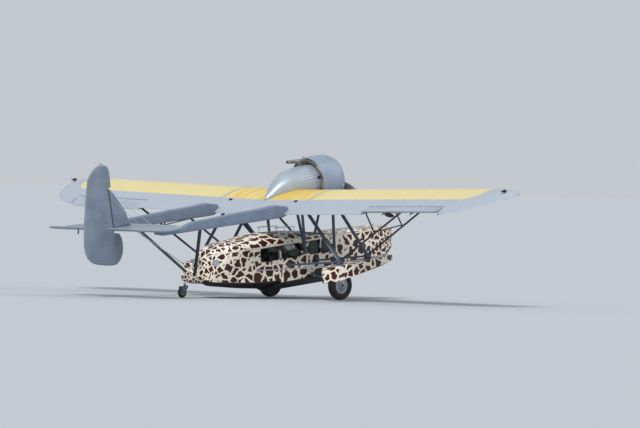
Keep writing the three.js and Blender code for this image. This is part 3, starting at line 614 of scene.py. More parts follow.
# %% [markdown]
# ## Hull enamel
# The hull and the floats are plywood under glossy enamel: cream, with dark brown patches like a giraffe's
# coat. A Voronoi texture makes such a coat by itself. Its distance to the nearest cell border is small
# along the borders, so that everything farther away than a limit is patch and the rest is the cream net. A
# little noise on the coordinates bends the borders as a brush would. The patches are about 250 mm long
# amidships and 110 mm at the ends, which comes from stretching the coordinates more and more towards both
# ends.

# %% Enamel with patches, and black bottom paint
CREAM, CREAM_IN_SHADE = srgb("#faeedc"), srgb("#ecddc4")
PATCH, PATCH_DARK = srgb("#4a1b15"), srgb("#2f120f")


def patched_enamel(name, middle_x, half_length, middle_z, patch_size, end_growth, net_width):
    """Cream enamel with brown patches of patch_size metres that shrink towards both ends."""
    material, tree, shader = new_material(name)
    place = level_coordinates(tree)
    split = add(tree, "ShaderNodeSeparateXYZ", {0: place})
    share = add(tree, "ShaderNodeMapRange", {"Value": split.outputs[0], "From Min": middle_x - half_length,
                                             "From Max": middle_x + half_length, "To Min": -1.0,
                                             "To Max": 1.0}, clamp=False)
    fourth = add(tree, "ShaderNodeMath", {0: share.outputs[0], 1: 4.0}, operation="POWER")
    growth = add(tree, "ShaderNodeMath", {0: fourth.outputs[0], 1: end_growth / patch_size,
                                          2: 1 / patch_size}, operation="MULTIPLY_ADD")
    stretch = add(tree, "ShaderNodeMath", {0: fourth.outputs[0], 1: end_growth / 5, 2: 1.0},
                  operation="MULTIPLY_ADD")
    run = add(tree, "ShaderNodeMath", {0: share.outputs[0], 1: stretch.outputs[0]}, operation="MULTIPLY")
    run_cells = add(tree, "ShaderNodeMath", {0: run.outputs[0], 1: half_length / patch_size},
                    operation="MULTIPLY")
    side_cells = add(tree, "ShaderNodeMath", {0: split.outputs[1], 1: growth.outputs[0]},
                     operation="MULTIPLY")
    up = add(tree, "ShaderNodeMath", {0: split.outputs[2], 1: middle_z}, operation="SUBTRACT")
    up_cells = add(tree, "ShaderNodeMath", {0: up.outputs[0], 1: growth.outputs[0]}, operation="MULTIPLY")
    cells = add(tree, "ShaderNodeCombineXYZ", {0: run_cells.outputs[0], 1: side_cells.outputs[0],
                                               2: up_cells.outputs[0]})
    wobble = add(tree, "ShaderNodeTexNoise", {"Vector": cells.outputs[0], "Scale": 1.6, "Detail": 2.0})
    centred = add(tree, "ShaderNodeVectorMath", {0: wobble.outputs["Color"], 1: (0.5, 0.5, 0.5)},
                  operation="SUBTRACT")
    pushed = add(tree, "ShaderNodeVectorMath", {0: centred.outputs[0], "Scale": 0.75}, operation="SCALE")
    bent = add(tree, "ShaderNodeVectorMath", {0: cells.outputs[0], 1: pushed.outputs[0]}, operation="ADD")
    border = add(tree, "ShaderNodeTexVoronoi", {"Vector": bent.outputs[0], "Scale": 1.0},
                 feature="DISTANCE_TO_EDGE")
    patch = add(tree, "ShaderNodeMapRange", {"Value": border.outputs["Distance"],
                                             "From Min": net_width - 0.012, "From Max": net_width + 0.012})
    cell = add(tree, "ShaderNodeTexVoronoi", {"Vector": bent.outputs[0], "Scale": 1.0})
    cell_tone = add(tree, "ShaderNodeSeparateColor", {0: cell.outputs["Color"]})
    brown = add(tree, "ShaderNodeMix", {"Factor": cell_tone.outputs[0], 6: PATCH, 7: PATCH_DARK},
                data_type="RGBA")
    # Painted shade: towards the bottom the cream darkens in blotches; the same noise also varies the gloss
    shade_and_gloss_noise = add(tree, "ShaderNodeTexNoise", {"Vector": place, "Scale": 1.8, "Detail": 4.0})
    low = add(tree, "ShaderNodeMapRange", {"Value": split.outputs[2], "From Min": -1.0, "From Max": -1.7,
                                           "To Min": 0.1, "To Max": 1.0})
    low_shade = add(tree, "ShaderNodeMath", {0: shade_and_gloss_noise.outputs[0], 1: low.outputs[0]}, operation="MULTIPLY")
    cream = add(tree, "ShaderNodeMix", {"Factor": low_shade.outputs[0], 6: CREAM, 7: CREAM_IN_SHADE},
                data_type="RGBA")
    coat = add(tree, "ShaderNodeMix", {"Factor": patch.outputs[0], 6: cream.outputs[2],
                                       7: brown.outputs[2]}, data_type="RGBA")
    tree.links.new(coat.outputs[2], shader.inputs["Base Color"])
    # Brushed enamel flows out almost flat: waves of 40 mm, a fraction of a millimetre high
    waves = add(tree, "ShaderNodeTexNoise", {"Vector": place, "Scale": 1 / 0.040, "Detail": 2.0})
    bump = add(tree, "ShaderNodeBump", {"Height": waves.outputs[0], "Strength": 0.25, "Distance": 0.002})
    tree.links.new(bump.outputs[0], shader.inputs["Normal"])
    gloss = add(tree, "ShaderNodeMapRange", {"Value": shade_and_gloss_noise.outputs[0], "To Min": 0.28, "To Max": 0.42})
    tree.links.new(gloss.outputs[0], shader.inputs["Roughness"])
    set_shader(shader, IOR=1.42)
    return material


def plain_paint(name, colour, second, grain, roughness, metallic=0.0, bump_depth=0.001):
    """Paint or bare metal of two close tones in soft patches, grain metres across, with fine bump."""
    material, tree, shader = new_material(name)
    place = level_coordinates(tree)
    patches = add(tree, "ShaderNodeTexNoise", {"Vector": place, "Scale": 0.35 / grain, "Detail": 4.0})
    blend = add(tree, "ShaderNodeMapRange", {"Value": patches.outputs[0], "From Min": 0.35,
                                             "From Max": 0.65})
    tone = add(tree, "ShaderNodeMix", {"Factor": blend.outputs[0], 6: srgb(colour), 7: srgb(second)},
               data_type="RGBA")
    tree.links.new(tone.outputs[2], shader.inputs["Base Color"])
    rough = add(tree, "ShaderNodeMapRange", {"Value": patches.outputs[0], "To Min": roughness - 0.08,
                                             "To Max": roughness + 0.08})
    tree.links.new(rough.outputs[0], shader.inputs["Roughness"])
    fine = add(tree, "ShaderNodeTexNoise", {"Vector": place, "Scale": 1 / grain, "Detail": 3.0})
    bump = add(tree, "ShaderNodeBump", {"Height": fine.outputs[0], "Strength": 0.3, "Distance": bump_depth})
    tree.links.new(bump.outputs[0], shader.inputs["Normal"])
    set_shader(shader, Metallic=metallic)
    return material


HULL_ENAMEL = patched_enamel("cream_and_brown_hull_enamel", 0.76, 3.11, -1.20, 0.27, 1.35, 0.105)
FLOAT_ENAMEL = patched_enamel("cream_and_brown_float_enamel", 0.65, 1.48, -1.40, 0.22, 0.35, 0.12)
BOTTOM_PAINT = plain_paint("black_bottom_paint", "#17191c", "#24272b", 0.05, 0.5)
print("hull paints:", HULL_ENAMEL.name, FLOAT_ENAMEL.name, BOTTOM_PAINT.name)

# %% [markdown]
# ## Hull
# Like the real one, the hull is a skin over frames: each row below is one frame, with its half widths at
# the chine and the gunwale and the heights of keel, chine, gunwale and deck. Filling in rows between them
# by a smooth curve gives the fair lines of a planked hull, where the few frames of the CAD part would show
# as flats.

# %% Hull skins
# Columns: x, half width at the chine, half width at the gunwale, keel, chine, gunwale, crown
BOW_FRAMES = [
    (1.750, 0.680, 0.680, -1.925, -1.670, -0.770, -0.742),
    (2.400, 0.655, 0.675, -1.880, -1.620, -0.775, -0.742),
    (3.000, 0.590, 0.630, -1.780, -1.520, -0.785, -0.744),
    (3.480, 0.500, 0.555, -1.630, -1.410, -0.800, -0.752),
    (3.760, 0.370, 0.425, -1.460, -1.280, -0.825, -0.775),
    (3.880, 0.215, 0.275, -1.320, -1.190, -0.870, -0.825),
    (3.920, 0.110, 0.150, -1.240, -1.140, -0.920, -0.890),
]
STERN_FRAMES = [
    (-1.100, 0.680, 0.680, -1.745, -1.590, -0.770, -0.545),
    (-1.500, 0.655, 0.640, -1.675, -1.550, -0.770, -0.570),
    (-1.800, 0.555, 0.480, -1.620, -1.515, -0.785, -0.610),
    (-2.000, 0.415, 0.340, -1.585, -1.490, -0.805, -0.665),
    (-2.130, 0.280, 0.210, -1.550, -1.470, -0.835, -0.735),
    (-2.215, 0.120, 0.085, -1.500, -1.440, -0.890, -0.830),
]
# Columns: x, keel, chine
BOTTOM_FRAMES = [(-1.100, -1.745, -1.590), (-0.300, -1.855, -1.640), (-0.298, -1.935, -1.690),
                 (1.750, -1.925, -1.670)]
HULL_HALF, FLOOR_Z, GUNWALE_Z, WALL = 0.680, -1.500, -0.770, 0.030
CABIN_REAR, CABIN_FRONT, ROOF_FRONT = -1.100, 1.750, 0.780
DECK_STEPS, SIDE_BOW = 20, 0.006


def deck_arc(half_width, base, crown):
    """Points of a curved deck from port to starboard."""
    return [(half_width * math.cos(a), base + (crown - base) * math.sin(a))
            for a in (math.pi * i / DECK_STEPS for i in range(DECK_STEPS + 1))]


def hull_ring(frame_row, squeeze=1.0):
    """One frame as a ring of points; squeeze draws it in towards its middle, for the rounded ends."""
    x, chine_half, gunwale_half, keel, chine, gunwale, crown = frame_row
    quarters = [k / 4 for k in range(4)]
    bottom = [(lerp(-chine_half, 0, t), lerp(chine, keel, t)) for t in quarters]
    bottom += [(lerp(0, chine_half, t), lerp(keel, chine, t)) for t in quarters]
    wall = [(lerp(chine_half, gunwale_half, t) + SIDE_BOW * math.sin(math.pi * t), lerp(chine, gunwale, t))
            for t in quarters]
    port = [(-y, z) for y, z in reversed(wall)][:-1]
    flat = bottom + wall + deck_arc(gunwale_half, gunwale, crown) + port
    middle = (keel + crown) / 2
    return [Vector((x, y * squeeze, middle + (z - middle) * squeeze)) for y, z in flat]


def paint_bottom(made, frames, chine_column, enamel):
    """Black paint on the faces under the chine, the enamel over it."""
    made.data.materials.append(enamel)
    made.data.materials.append(BOTTOM_PAINT)
    for face in made.data.polygons:
        centre = LEVEL.inverted() @ face.center
        face.material_index = 1 if centre.z < along(frames, centre.x, chine_column) - 0.004 else 0


def rounded_end(rows, push):
    """Rings for a hull's last row, drawn in over push metres so that the end isn't a sharp cut."""
    last = list(rows[-1])
    return [hull_ring([last[0] + push * share, *last[1:]], squeeze)
            for share, squeeze in ((-1.0, 1.0), (-0.45, 0.985), (-0.12, 0.93), (0.0, 0.82))]


bow_rows = between_columns(BOW_FRAMES, 5)
bow = mesh_object("bow_skin", *ring_skin([hull_ring(row) for row in bow_rows[:-1]]
                                         + rounded_end(bow_rows, 0.004)), smooth_angle=32)
paint_bottom(bow, BOW_FRAMES, 4, HULL_ENAMEL)
fit(bow, None, stands_for=["hull_bow"])

stern_rows = between_columns(STERN_FRAMES, 6)
POST_FRAMES = [(-2.150, 0.130, -1.130, -1.500), (-2.600, 0.090, -1.140, -1.440),
               (-2.870, 0.035, -1.170, -1.340)]


def post_ring(row):
    """The low post behind the stern: an upright rounded section."""
    x, half, top, low = row
    middle, tall = (top + low) / 2, (top - low) / 2
    return [Vector((x, half * math.copysign(abs(math.cos(a)) ** 0.7, math.cos(a)),
                    middle + tall * math.copysign(abs(math.sin(a)) ** 0.7, math.sin(a))))
            for a in full_turn(24)]


stern_rings = [hull_ring(row) for row in stern_rows[:-1]] + rounded_end(stern_rows, -0.008)
post_end = [Vector((-2.875, p.y * 0.6, -1.255 + (p.z + 1.255) * 0.6)) for p in post_ring(POST_FRAMES[-1])]
post_rings = [post_ring(row) for row in between_columns(POST_FRAMES, 4)] + [post_end]
stern = mesh_object("stern_skin", *merged(ring_skin(stern_rings), ring_skin(post_rings)), smooth_angle=32,
                    turn_out=False)
paint_bottom(stern, STERN_FRAMES, 4, HULL_ENAMEL)
fit(stern, None, stands_for=["hull_stern"])


def bottom_ring(row):
    x, keel, chine = row
    return [Vector((x, y, z)) for y, z in ((-HULL_HALF, chine), (-HULL_HALF / 2, (chine + keel) / 2),
                                           (0.0, keel), (HULL_HALF / 2, (chine + keel) / 2),
                                           (HULL_HALF, chine), (HULL_HALF, FLOOR_Z), (-HULL_HALF, FLOOR_Z))]


bottom = mesh_object("planing_bottom", *ring_skin([bottom_ring(row) for row in BOTTOM_FRAMES]),
                     smooth_angle=20)
paint_bottom(bottom, BOTTOM_FRAMES, 2, HULL_ENAMEL)
fit(bottom, None, stands_for=["hull_bottom"])
print("hull skins:", len(bow.data.polygons), len(stern.data.polygons), len(bottom.data.polygons), "faces")

# %% [markdown]
# ## Cabin walls, roof and windshield
# The windows have round corners. A flat curve with holes is the simplest way to such a plate: Blender fills
# the outline and leaves the inner loops open, and an extrusion gives it the wall's thickness. The roof and
# the windshield are curved, so they are grids with some cells left out and a thickness added afterwards.

# %% Cabin walls
# Columns: rear x, front x at the sill, front x at the head
WINDOWS = [(-0.890, -0.270, -0.270), (-0.210, 0.440, 0.440), (0.710, 1.080, 1.080), (1.130, 1.590, 1.330)]
SILL_Z, HEAD_Z, WINDOW_CORNER = -1.120, -0.800, 0.055
CORNER_STEPS = 6


def rounded_loop(corners, radius):
    """A closed outline with its corners rounded by arcs."""
    loop = []
    for i, corner in enumerate(corners):
        here = Vector((*corner, 0.0))
        back = (Vector((*corners[i - 1], 0.0)) - here).normalized()
        ahead = (Vector((*corners[(i + 1) % len(corners)], 0.0)) - here).normalized()
        half_angle = back.angle(ahead) / 2
        reach = radius / math.tan(half_angle)
        centre = here + (back + ahead).normalized() * radius / math.sin(half_angle)
        start, end = here + back * reach - centre, here + ahead * reach - centre
        sweep = start.angle(end)
        turn = 1 if start.cross(end).z > 0 else -1
        for k in range(CORNER_STEPS + 1):
            arm = Matrix.Rotation(turn * sweep * k / CORNER_STEPS, 3, "Z") @ start
            loop.append((centre.x + arm.x, centre.y + arm.y))
    return loop


def filled_plate(name, outer, holes, thickness, place):
    """A flat plate with holes: outlines are (x, y) loops, thickness is along the plate's own z."""
    curve = bpy.data.curves.new(name, "CURVE")
    curve.dimensions, curve.fill_mode, curve.extrude = "2D", "BOTH", thickness / 2
    for loop in (outer, *holes):
        spline = curve.splines.new("POLY")
        spline.points.add(len(loop) - 1)
        for point, (x, y) in zip(spline.points, loop):
            point.co = (x, y, 0.0, 1.0)
        spline.use_cyclic_u = True
    flat = bpy.data.objects.new(name + "_outline", curve)
    bpy.context.scene.collection.objects.link(flat)
    bpy.context.view_layer.update()
    mesh = bpy.data.meshes.new_from_object(flat.evaluated_get(bpy.context.evaluated_depsgraph_get()))
    bpy.data.objects.remove(flat)
    verts = [v.co.copy() for v in mesh.vertices]
    faces = [tuple(face.vertices) for face in mesh.polygons]
    bpy.data.meshes.remove(mesh)
    return mesh_object(name, verts, faces, place=place, smooth_angle=30)


# A drawing's (x, y) becomes (x, z)
UPRIGHT = Matrix(((1, 0, 0, 0), (0, 0, -1, 0), (0, 1, 0, 0), (0, 0, 0, 1)))
window_loops = [rounded_loop([(rear, SILL_Z), (sill, SILL_Z), (head, HEAD_Z), (rear, HEAD_Z)],
                             WINDOW_CORNER) for rear, sill, head in WINDOWS]
for word, side in SIDES:
    wall_outline = [(CABIN_REAR, FLOOR_Z), (CABIN_FRONT, FLOOR_Z), (CABIN_FRONT, GUNWALE_Z),
                    (CABIN_REAR, GUNWALE_Z)]
    wall_place = LEVEL @ Matrix.Translation((0.0, side * (HULL_HALF - WALL / 2), 0.0)) @ UPRIGHT
    wall = filled_plate(f"cabin_wall_{word}", wall_outline, window_loops, WALL, wall_place)
    fit(wall, HULL_ENAMEL, stands_for=[f"cabin_side_{word}"])
print("windows:", len(window_loops))

# %% Roof, hatch and windshield
ROOF_FRAMES = [(CABIN_REAR, -0.545), (-0.700, -0.510), (-0.170, -0.490), (0.300, -0.515),
               (ROOF_FRONT, -0.560)]
SCREEN_FRONT_CROWN = -0.742
HATCH_REAR, HATCH_FRONT, HATCH_HALF = -0.880, -0.380, 0.240
SHELL = 0.026


def crown_at(x):
    """Height of the roof's or the windshield's middle line."""
    if x > ROOF_FRONT:
        return lerp(-0.560, SCREEN_FRONT_CROWN, (x - ROOF_FRONT) / (CABIN_FRONT - ROOF_FRONT))
    return along(ROOF_FRAMES, x, 1)


def shell_point(x, y, inset=0.0):
    """A point of the bowed roof shell at x and y."""
    half, rise = HULL_HALF - inset, crown_at(x) - inset - GUNWALE_Z
    return Vector((x, y, GUNWALE_Z + rise * math.sqrt(max(0.0, 1 - (y / half) ** 2))))


def shell_grid(xs, ys, inset, left_out):
    """A grid of the shell; left_out says which cells, by their middle, are open."""
    verts = [shell_point(x, y * (HULL_HALF - inset) / HULL_HALF, inset) for x in xs for y in ys]
    faces = []
    for i in range(len(xs) - 1):
        for j in range(len(ys) - 1):
            if not left_out((xs[i] + xs[i + 1]) / 2, (ys[j] + ys[j + 1]) / 2):
                a = i * len(ys) + j
                faces.append((a, a + 1, a + 1 + len(ys), a + len(ys)))
    return verts, faces


def thickened(made, thickness):
    """Gives an open sheet its thickness, inwards, and returns it as a plain mesh."""
    solid = made.modifiers.new("thickness", "SOLIDIFY")
    solid.thickness, solid.offset, solid.use_even_offset = thickness, -1.0, False
    return plain_mesh(made)


def spread(marks, step):
    """Numbers from the first mark to the last, at most step apart, with every mark among them."""
    values = []
    for low, high in zip(marks, marks[1:]):
        count = max(1, math.ceil((high - low) / step))
        values += [lerp(low, high, k / count) for k in range(count)]
    return values + [marks[-1]]


def shell_piece(name, x_marks, y_marks, left_out, thickness=SHELL, inset=0.0):
    verts, faces = shell_grid(spread(x_marks, 0.09), spread(y_marks, 0.055), inset, left_out)
    sheet = mesh_object(name, verts, faces, smooth_angle=40, turn_out=False)
    if sheet.data.polygons[0].normal.z < 0:
        sheet.data.flip_normals()
    return thickened(sheet, thickness)


def mirrored_marks(*values):
    return [-value for value in reversed(values)] + list(values)


def in_hatch(x, y, margin=0.0):
    return HATCH_REAR - margin < x < HATCH_FRONT + margin and abs(y) < HATCH_HALF + margin


def nowhere(x, y):
    return False


edge_marks = (0.600, 0.645, 0.668, 0.677, HULL_HALF)
roof = shell_piece("roof_skin", [CABIN_REAR, HATCH_REAR, HATCH_FRONT, ROOF_FRONT],
                   mirrored_marks(HATCH_HALF, *edge_marks), in_hatch)
fit(roof, HULL_ENAMEL, stands_for=["cabin_roof"])

LID_GAP = 0.006
lid = shell_piece("hatch_lid", [HATCH_REAR + LID_GAP, HATCH_FRONT - LID_GAP],
                  mirrored_marks(HATCH_HALF - LID_GAP), nowhere)
fit(lid, HULL_ENAMEL, body="hatch_lid", stands_for=["roof_hatch"])

PANES = [(0.850, 1.160, 0.028, 0.560), (1.240, 1.600, 0.028, 0.520)]


def in_pane(x, y):
    return any(x0 < x < x1 and y0 < abs(y) < y1 for x0, x1, y0, y1 in PANES)


screen = shell_piece("windshield_frame_skin", [ROOF_FRONT, 0.850, 1.160, 1.240, 1.600, CABIN_FRONT],
                     mirrored_marks(0.028, 0.520, 0.560, *edge_marks), in_pane)
fit(screen, HULL_ENAMEL, stands_for=["windshield_frame"])
print("roof, hatch and windshield:", len(roof.data.polygons), len(lid.data.polygons),
      len(screen.data.polygons))

# %% [markdown]
# ## Floats
# Each float is a small plywood hull with flat sides. Its deck edges are rounded, its rear end is a flat
# transom, and the bottom under the chine is black like the hull's.

# %% Floats
# Columns: x, half width, deck, chine, keel
FLOAT_FRAMES = [(-0.550, 0.060, -1.320, -1.615, -1.625), (-0.470, 0.140, -1.270, -1.612, -1.632),
                (-0.330, 0.205, -1.246, -1.600, -1.634), (-0.060, 0.250, -1.238, -1.562, -1.618),
                (0.640, 0.258, -1.210, -1.455, -1.535), (1.300, 0.240, -1.190, -1.342, -1.440),
                (1.480, 0.205, -1.186, -1.312, -1.400), (1.640, 0.130, -1.186, -1.294, -1.352),
                (1.690, 0.060, -1.190, -1.290, -1.325)]
FLOAT_Y = 2.490


def float_ring(side, row, squeeze=1.0):
    x, half, deck, chine, keel = row
    edge = min(0.035, (deck - chine) * 0.6)
    right = [(0.0, keel), (half * 0.5, (keel + chine) / 2), (half, chine)]
    right += [(half - edge + edge * math.cos(a), deck - edge + edge * math.sin(a))
              for a in (math.pi / 2 * k / 5 for k in range(6))]
    flat = right + [(-y, z) for y, z in reversed(right)][:-1]
    middle = (deck + keel) / 2
    return [Vector((x, side * FLOAT_Y + y * squeeze, middle + (z - middle) * squeeze)) for y, z in flat]


for word, side in SIDES:
    rows = between_columns(FLOAT_FRAMES, 6)
    rear, front = rows[0], rows[-1]
    rings = [float_ring(side, rear, 0.93), float_ring(side, [rear[0] + 0.002, *rear[1:]], 0.975),
             float_ring(side, [rear[0] + 0.006, *rear[1:]])]
    rings += [float_ring(side, row) for row in rows[1:-1]]
    rings += [float_ring(side, [front[0] - 0.003, *front[1:]]), float_ring(side, front, 0.7)]
    float_skin = mesh_object(f"float_skin_{word}", *ring_skin(rings), smooth_angle=32)
    paint_bottom(float_skin, FLOAT_FRAMES, 3, FLOAT_ENAMEL)
    fit(float_skin, None, stands_for=[f"float_{word}"])
print("floats done")

# %% [markdown]
# ## Engine housing
# The nacelle is beaten from sheet and painted silver, and the ring round the cylinders is a lathe-turned
# shape with a rolled lip. The exhaust collector behind the ring is bare steel that the heat has turned
# brown.

# %% Sheet metal paints
NACELLE_PAINT = plain_paint("silver_sheet_metal_paint", "#b4bec9", "#a7b2bf", 0.090, 0.34, metallic=0.35)
COWL_PAINT = plain_paint("silver_cowl_paint", "#98a4b6", "#8d9aac", 0.120, 0.33, metallic=0.30)
# The booms' silver is darker than the nacelle's: painted shade on their upright sides
SHADED_BOOM_PAINT = plain_paint("silver_boom_paint_in_painted_shade", "#79869c", "#707d8f", 0.090, 0.45, metallic=0.10)
STRUT_PAINT = plain_paint("slate_strut_paint", "#525e6f", "#475263", 0.020, 0.42)
# The outer, jury and stern struts carry the slate strut paint darkened nearly to black: painted shade
SHADED_STRUT_PAINT = plain_paint("strut_paint_darkened_as_painted_shade", "#22272f", "#1b1f26", 0.020, 0.42)
HOT_STEEL = plain_paint("heat_browned_exhaust_steel", "#a5a19a", "#6a5e54", 0.060, 0.42, metallic=0.75)
BARE_METAL = plain_paint("brushed_bare_metal", "#b9bec4", "#aab0b7", 0.060, 0.30, metallic=0.9,
                         bump_depth=0.0004)
DARK_METAL = plain_paint("dark_engine_metal", "#3b3e42", "#2c2f33", 0.012, 0.5, metallic=0.6)
print("metal paints ready")

# %% Nacelle and cowl ring
# Columns: x, radius, centre height
NACELLE_FRAMES = [(1.550, 0.435, 0.555), (1.330, 0.430, 0.550), (1.000, 0.405, 0.545),
                  (0.660, 0.346, 0.530), (0.320, 0.207, 0.450), (0.110, 0.098, 0.346),
                  (0.010, 0.030, 0.302)]
SHAFT_Z = 0.555
AROUND = 64


def round_line(x, radius, angle, middle_z=SHAFT_Z):
    """A point at a radius from a line along x at height middle_z; the angle runs from top to port."""
    return Vector((x, radius * math.sin(angle), middle_z + radius * math.cos(angle)))


def nacelle_ring(row):
    x, radius, middle = row
    return [round_line(x, radius, a, middle) for a in full_turn(AROUND)]


nacelle_rows = between_columns(NACELLE_FRAMES, 6)
nacelle_rows[0][1] -= 0.006
nacelle_rows.insert(1, [1.544, NACELLE_FRAMES[0][1], NACELLE_FRAMES[0][2]])
nacelle_rows.append([0.003, 0.014, 0.300])
nacelle = dress("nacelle_skin", ring_skin([nacelle_ring(row) for row in nacelle_rows]), NACELLE_PAINT,
                "silver_metal", stands_for=["nacelle"], smooth_angle=50)

# Columns: x, outer radius, inner radius
COWL_FRAMES = [(1.440, 0.5870, 0.5850), (1.500, 0.606, 0.594), (1.650, 0.617, 0.603), (1.850, 0.620, 0.604),
               (2.000, 0.612, 0.594), (2.100, 0.590, 0.566), (2.140, 0.572, 0.545)]
cowl_rows = between_columns(COWL_FRAMES, 4)
lip = [(2.140 + 0.030 * math.sin(a), 0.5585 + 0.0135 * math.cos(a), 0.0)
       for a in (math.pi * k / 8 for k in range(1, 8))]
cowl_profile = ([(x, outer) for x, outer, _ in cowl_rows] + [(x, radius) for x, radius, _ in lip]
                + [(x, inner) for x, _, inner in reversed(cowl_rows)])
rings = [[round_line(x, radius, a) for x, radius in cowl_profile] for a in full_turn(AROUND)]
cowl = dress("cowl_ring_skin", ring_skin(rings + [rings[0]], caps=False), COWL_PAINT, "silver_metal",
             stands_for=["cowl_ring"], smooth_angle=50)
print("nacelle and cowl:", len(nacelle.data.polygons), len(cowl.data.polygons), "faces")

# %% Exhaust
COLLECTOR_X, COLLECTOR_RADIUS, COLLECTOR_TUBE = 1.500, 0.515, 0.056
circle = [round_line(COLLECTOR_X, COLLECTOR_RADIUS, a) for a in full_turn(56)]
collector = swept(circle, round_section(COLLECTOR_TUBE, 16), closed=True)
PIPE_Z, PIPE_TILT = 1.160, 0.055


def pipe_point(distance, radius, angle):
    """A point of the tail pipe, which leans back a little over the nacelle."""
    flat = Vector((distance, radius * math.cos(angle), radius * math.sin(angle)))
    return Matrix.Rotation(PIPE_TILT, 3, "Y") @ flat + Vector((0.0, 0.0, PIPE_Z))


pipe_profile = [(0.850, 0.030), (0.812, 0.033), (0.810, 0.038), (0.960, 0.045), (1.100, 0.052),
                (1.300, 0.051), (1.500, 0.050), (1.520, 0.046)]
pipe = ring_skin([[pipe_point(d, r, a) for a in full_turn(24)] for d, r in pipe_profile])
exhaust = dress("exhaust_ring_and_pipe", merged(collector, pipe), HOT_STEEL, "exhaust_steel",
                stands_for=["exhaust"], smooth_angle=50)
print("exhaust faces:", len(exhaust.data.polygons))

# %% [markdown]
# ## Booms
# The two booms are slab-sided boxes with rounded edges. Their outlines from the side and from above are
# those of the CAD part, and each ring takes its four edges from them. The booms leave the wing's upper side
# and end under the tailplane.

# %% Booms
BOOM_Y = 1.250
TAIL_LOW, TAIL_HIGH = 0.092, 0.180
BOOM_TOP = [(-4.700, 0.0915), (-3.950, 0.0915), (-3.550, 0.190), (-2.000, 0.240), (-1.350, 0.252),
            (-0.860, 0.280), (-0.460, 0.205), (-0.330, 0.045)]
BOOM_LOW = [(-4.700, 0.020), (-4.500, -0.030), (-0.620, -0.045), (-0.330, 0.035)]
BOOM_HALF = [(-4.700, 0.070), (-0.900, 0.105), (-0.330, 0.012)]
CURVE_STEPS = 5


def rounded_box_ring(x, y, half, low, high, corner):
    """A rounded rectangle standing square to x."""
    corner = min(corner, half * 0.98, (high - low) * 0.49)
    ring = []
    for i, (sy, z) in enumerate(((1, high - corner), (-1, high - corner), (-1, low + corner),
                                 (1, low + corner))):
        for k in range(CURVE_STEPS + 1):
            a = math.pi / 2 * i + math.pi / 2 * k / CURVE_STEPS
            ring.append(Vector((x, y + sy * (half - corner) + corner * math.cos(a),
                                z + corner * math.sin(a))))
    return ring


boom_marks = sorted({x for rows in (BOOM_TOP, BOOM_LOW, BOOM_HALF) for x, _ in rows})
for word, side in SIDES:
    rings = [rounded_box_ring(x, side * BOOM_Y, along(BOOM_HALF, x, 1), along(BOOM_LOW, x, 1),
                              along(BOOM_TOP, x, 1), 0.032) for x in spread(boom_marks, 0.12)]
    dress(f"boom_skin_{word}", ring_skin(rings), SHADED_BOOM_PAINT, "silver_metal", stands_for=[f"boom_{word}"],
          smooth_angle=50)
print("booms done")

# %% [markdown]
# ## Tail surfaces
# Tailplane, fin, elevators and rudder are flat frames under fabric. The outline is a loop, and further
# loops inside it rise along a quarter of an ellipse, so that the edges are round and the faces flat. Round
# corners come from a smooth curve through the outline's points, and the straight hinge edges stay straight.

# %% Plates with rounded edges
def smooth_loop(points, straight):
    """A closed loop with curves between its points, except on the edges numbered in straight."""
    loop, count = [], len(points)
    for i in range(count):
        a, b = points[i], points[(i + 1) % count]
        if i in straight:
            loop.append(tuple(a))
            continue
        before = points[i - 1] if (i - 1) % count not in straight else a
        after = points[(i + 2) % count] if (i + 1) % count not in straight else b
        loop += [curve_between(before, a, b, after, k / CURVE_STEPS) for k in range(CURVE_STEPS)]
    return loop


def inner_loop(loop, inset):
    """The loop moved inwards; loops run counter-clockwise."""
    moved, count = [], len(loop)
    for i, (x, y) in enumerate(loop):
        px, py = loop[i - 1]
        nx, ny = loop[(i + 1) % count]
        before, after = Vector((x - px, y - py)).normalized(), Vector((nx - x, ny - y)).normalized()
        normal = Vector((-(before.y + after.y), before.x + after.x))
        if normal.length < 1e-6:
            normal = Vector((-before.y, before.x))
        normal.normalize()
        share = max(0.5, normal.dot(Vector((-before.y, before.x))))
        moved.append((x + normal.x * inset / share, y + normal.y * inset / share))
    return moved


def pillow(loop, thickness, rounding, steps=6):
    """A plate with the loop as its outline and edges rounded over the last rounding metres."""
    area = sum(loop[i - 1][0] * y - x * loop[i - 1][1] for i, (x, y) in enumerate(loop))
    loop = loop if area > 0 else loop[::-1]
    insets = [rounding * (1 - math.cos(math.pi / 2 * k / steps)) for k in range(steps + 1)]
    heights = [thickness / 2 * math.sin(math.pi / 2 * k / steps) for k in range(steps + 1)]
    rings = [[(x, y, h) for x, y in inner_loop(loop, inset)] for inset, h in zip(insets, heights)]
    rings = [[(x, y, -z) for x, y, z in ring] for ring in reversed(rings[1:])] + rings
    return ring_skin(rings)


def upright_parts(part, y):
    """A plate drawn in x and y, stood up as x and z at the given y."""
    verts, faces = part
    return [(v[0], y - v[2], v[1]) for v in verts], faces


def raised_parts(part, z):
    verts, faces = part
    return [(v[0], v[1], v[2] + z) for v in verts], faces


print("square test:", len(pillow([(0, 0), (1, 0), (1, 1), (0, 1)], 0.05, 0.02)[0]), "points")

# %% Tailplane, fin, elevators and rudder
HINGE_TAIL_X, RUDDER_LEAN = -4.970, -0.075
TAIL_MIDDLE = (TAIL_LOW + TAIL_HIGH) / 2
ELEVATOR_REST = math.radians(10.0)
half_outline = [(-4.000, 0.0), (-4.010, 0.900), (-4.080, 1.350), (-4.260, 1.690), (-4.560, 1.850),
                (-4.780, 1.870), (-4.946, 1.800), (-4.946, 0.070), (-4.898, 0.052)]
tail_outline = half_outline + [(x, -y) for x, y in half_outline[::-1][:-1]]
tail_loop = smooth_loop(tail_outline, straight={6, 7, 8, 9, 10})
dress("tailplane_skin", raised_parts(pillow(tail_loop, TAIL_HIGH - TAIL_LOW, 0.110), TAIL_MIDDLE),
      SHADED_TAIL_FABRIC, "silver_fabric", stands_for=["tailplane"], smooth_angle=50)


def post_x(z):
    """The rudder's hinge line leans forward with height."""
    return HINGE_TAIL_X + RUDDER_LEAN * (z - 0.560)


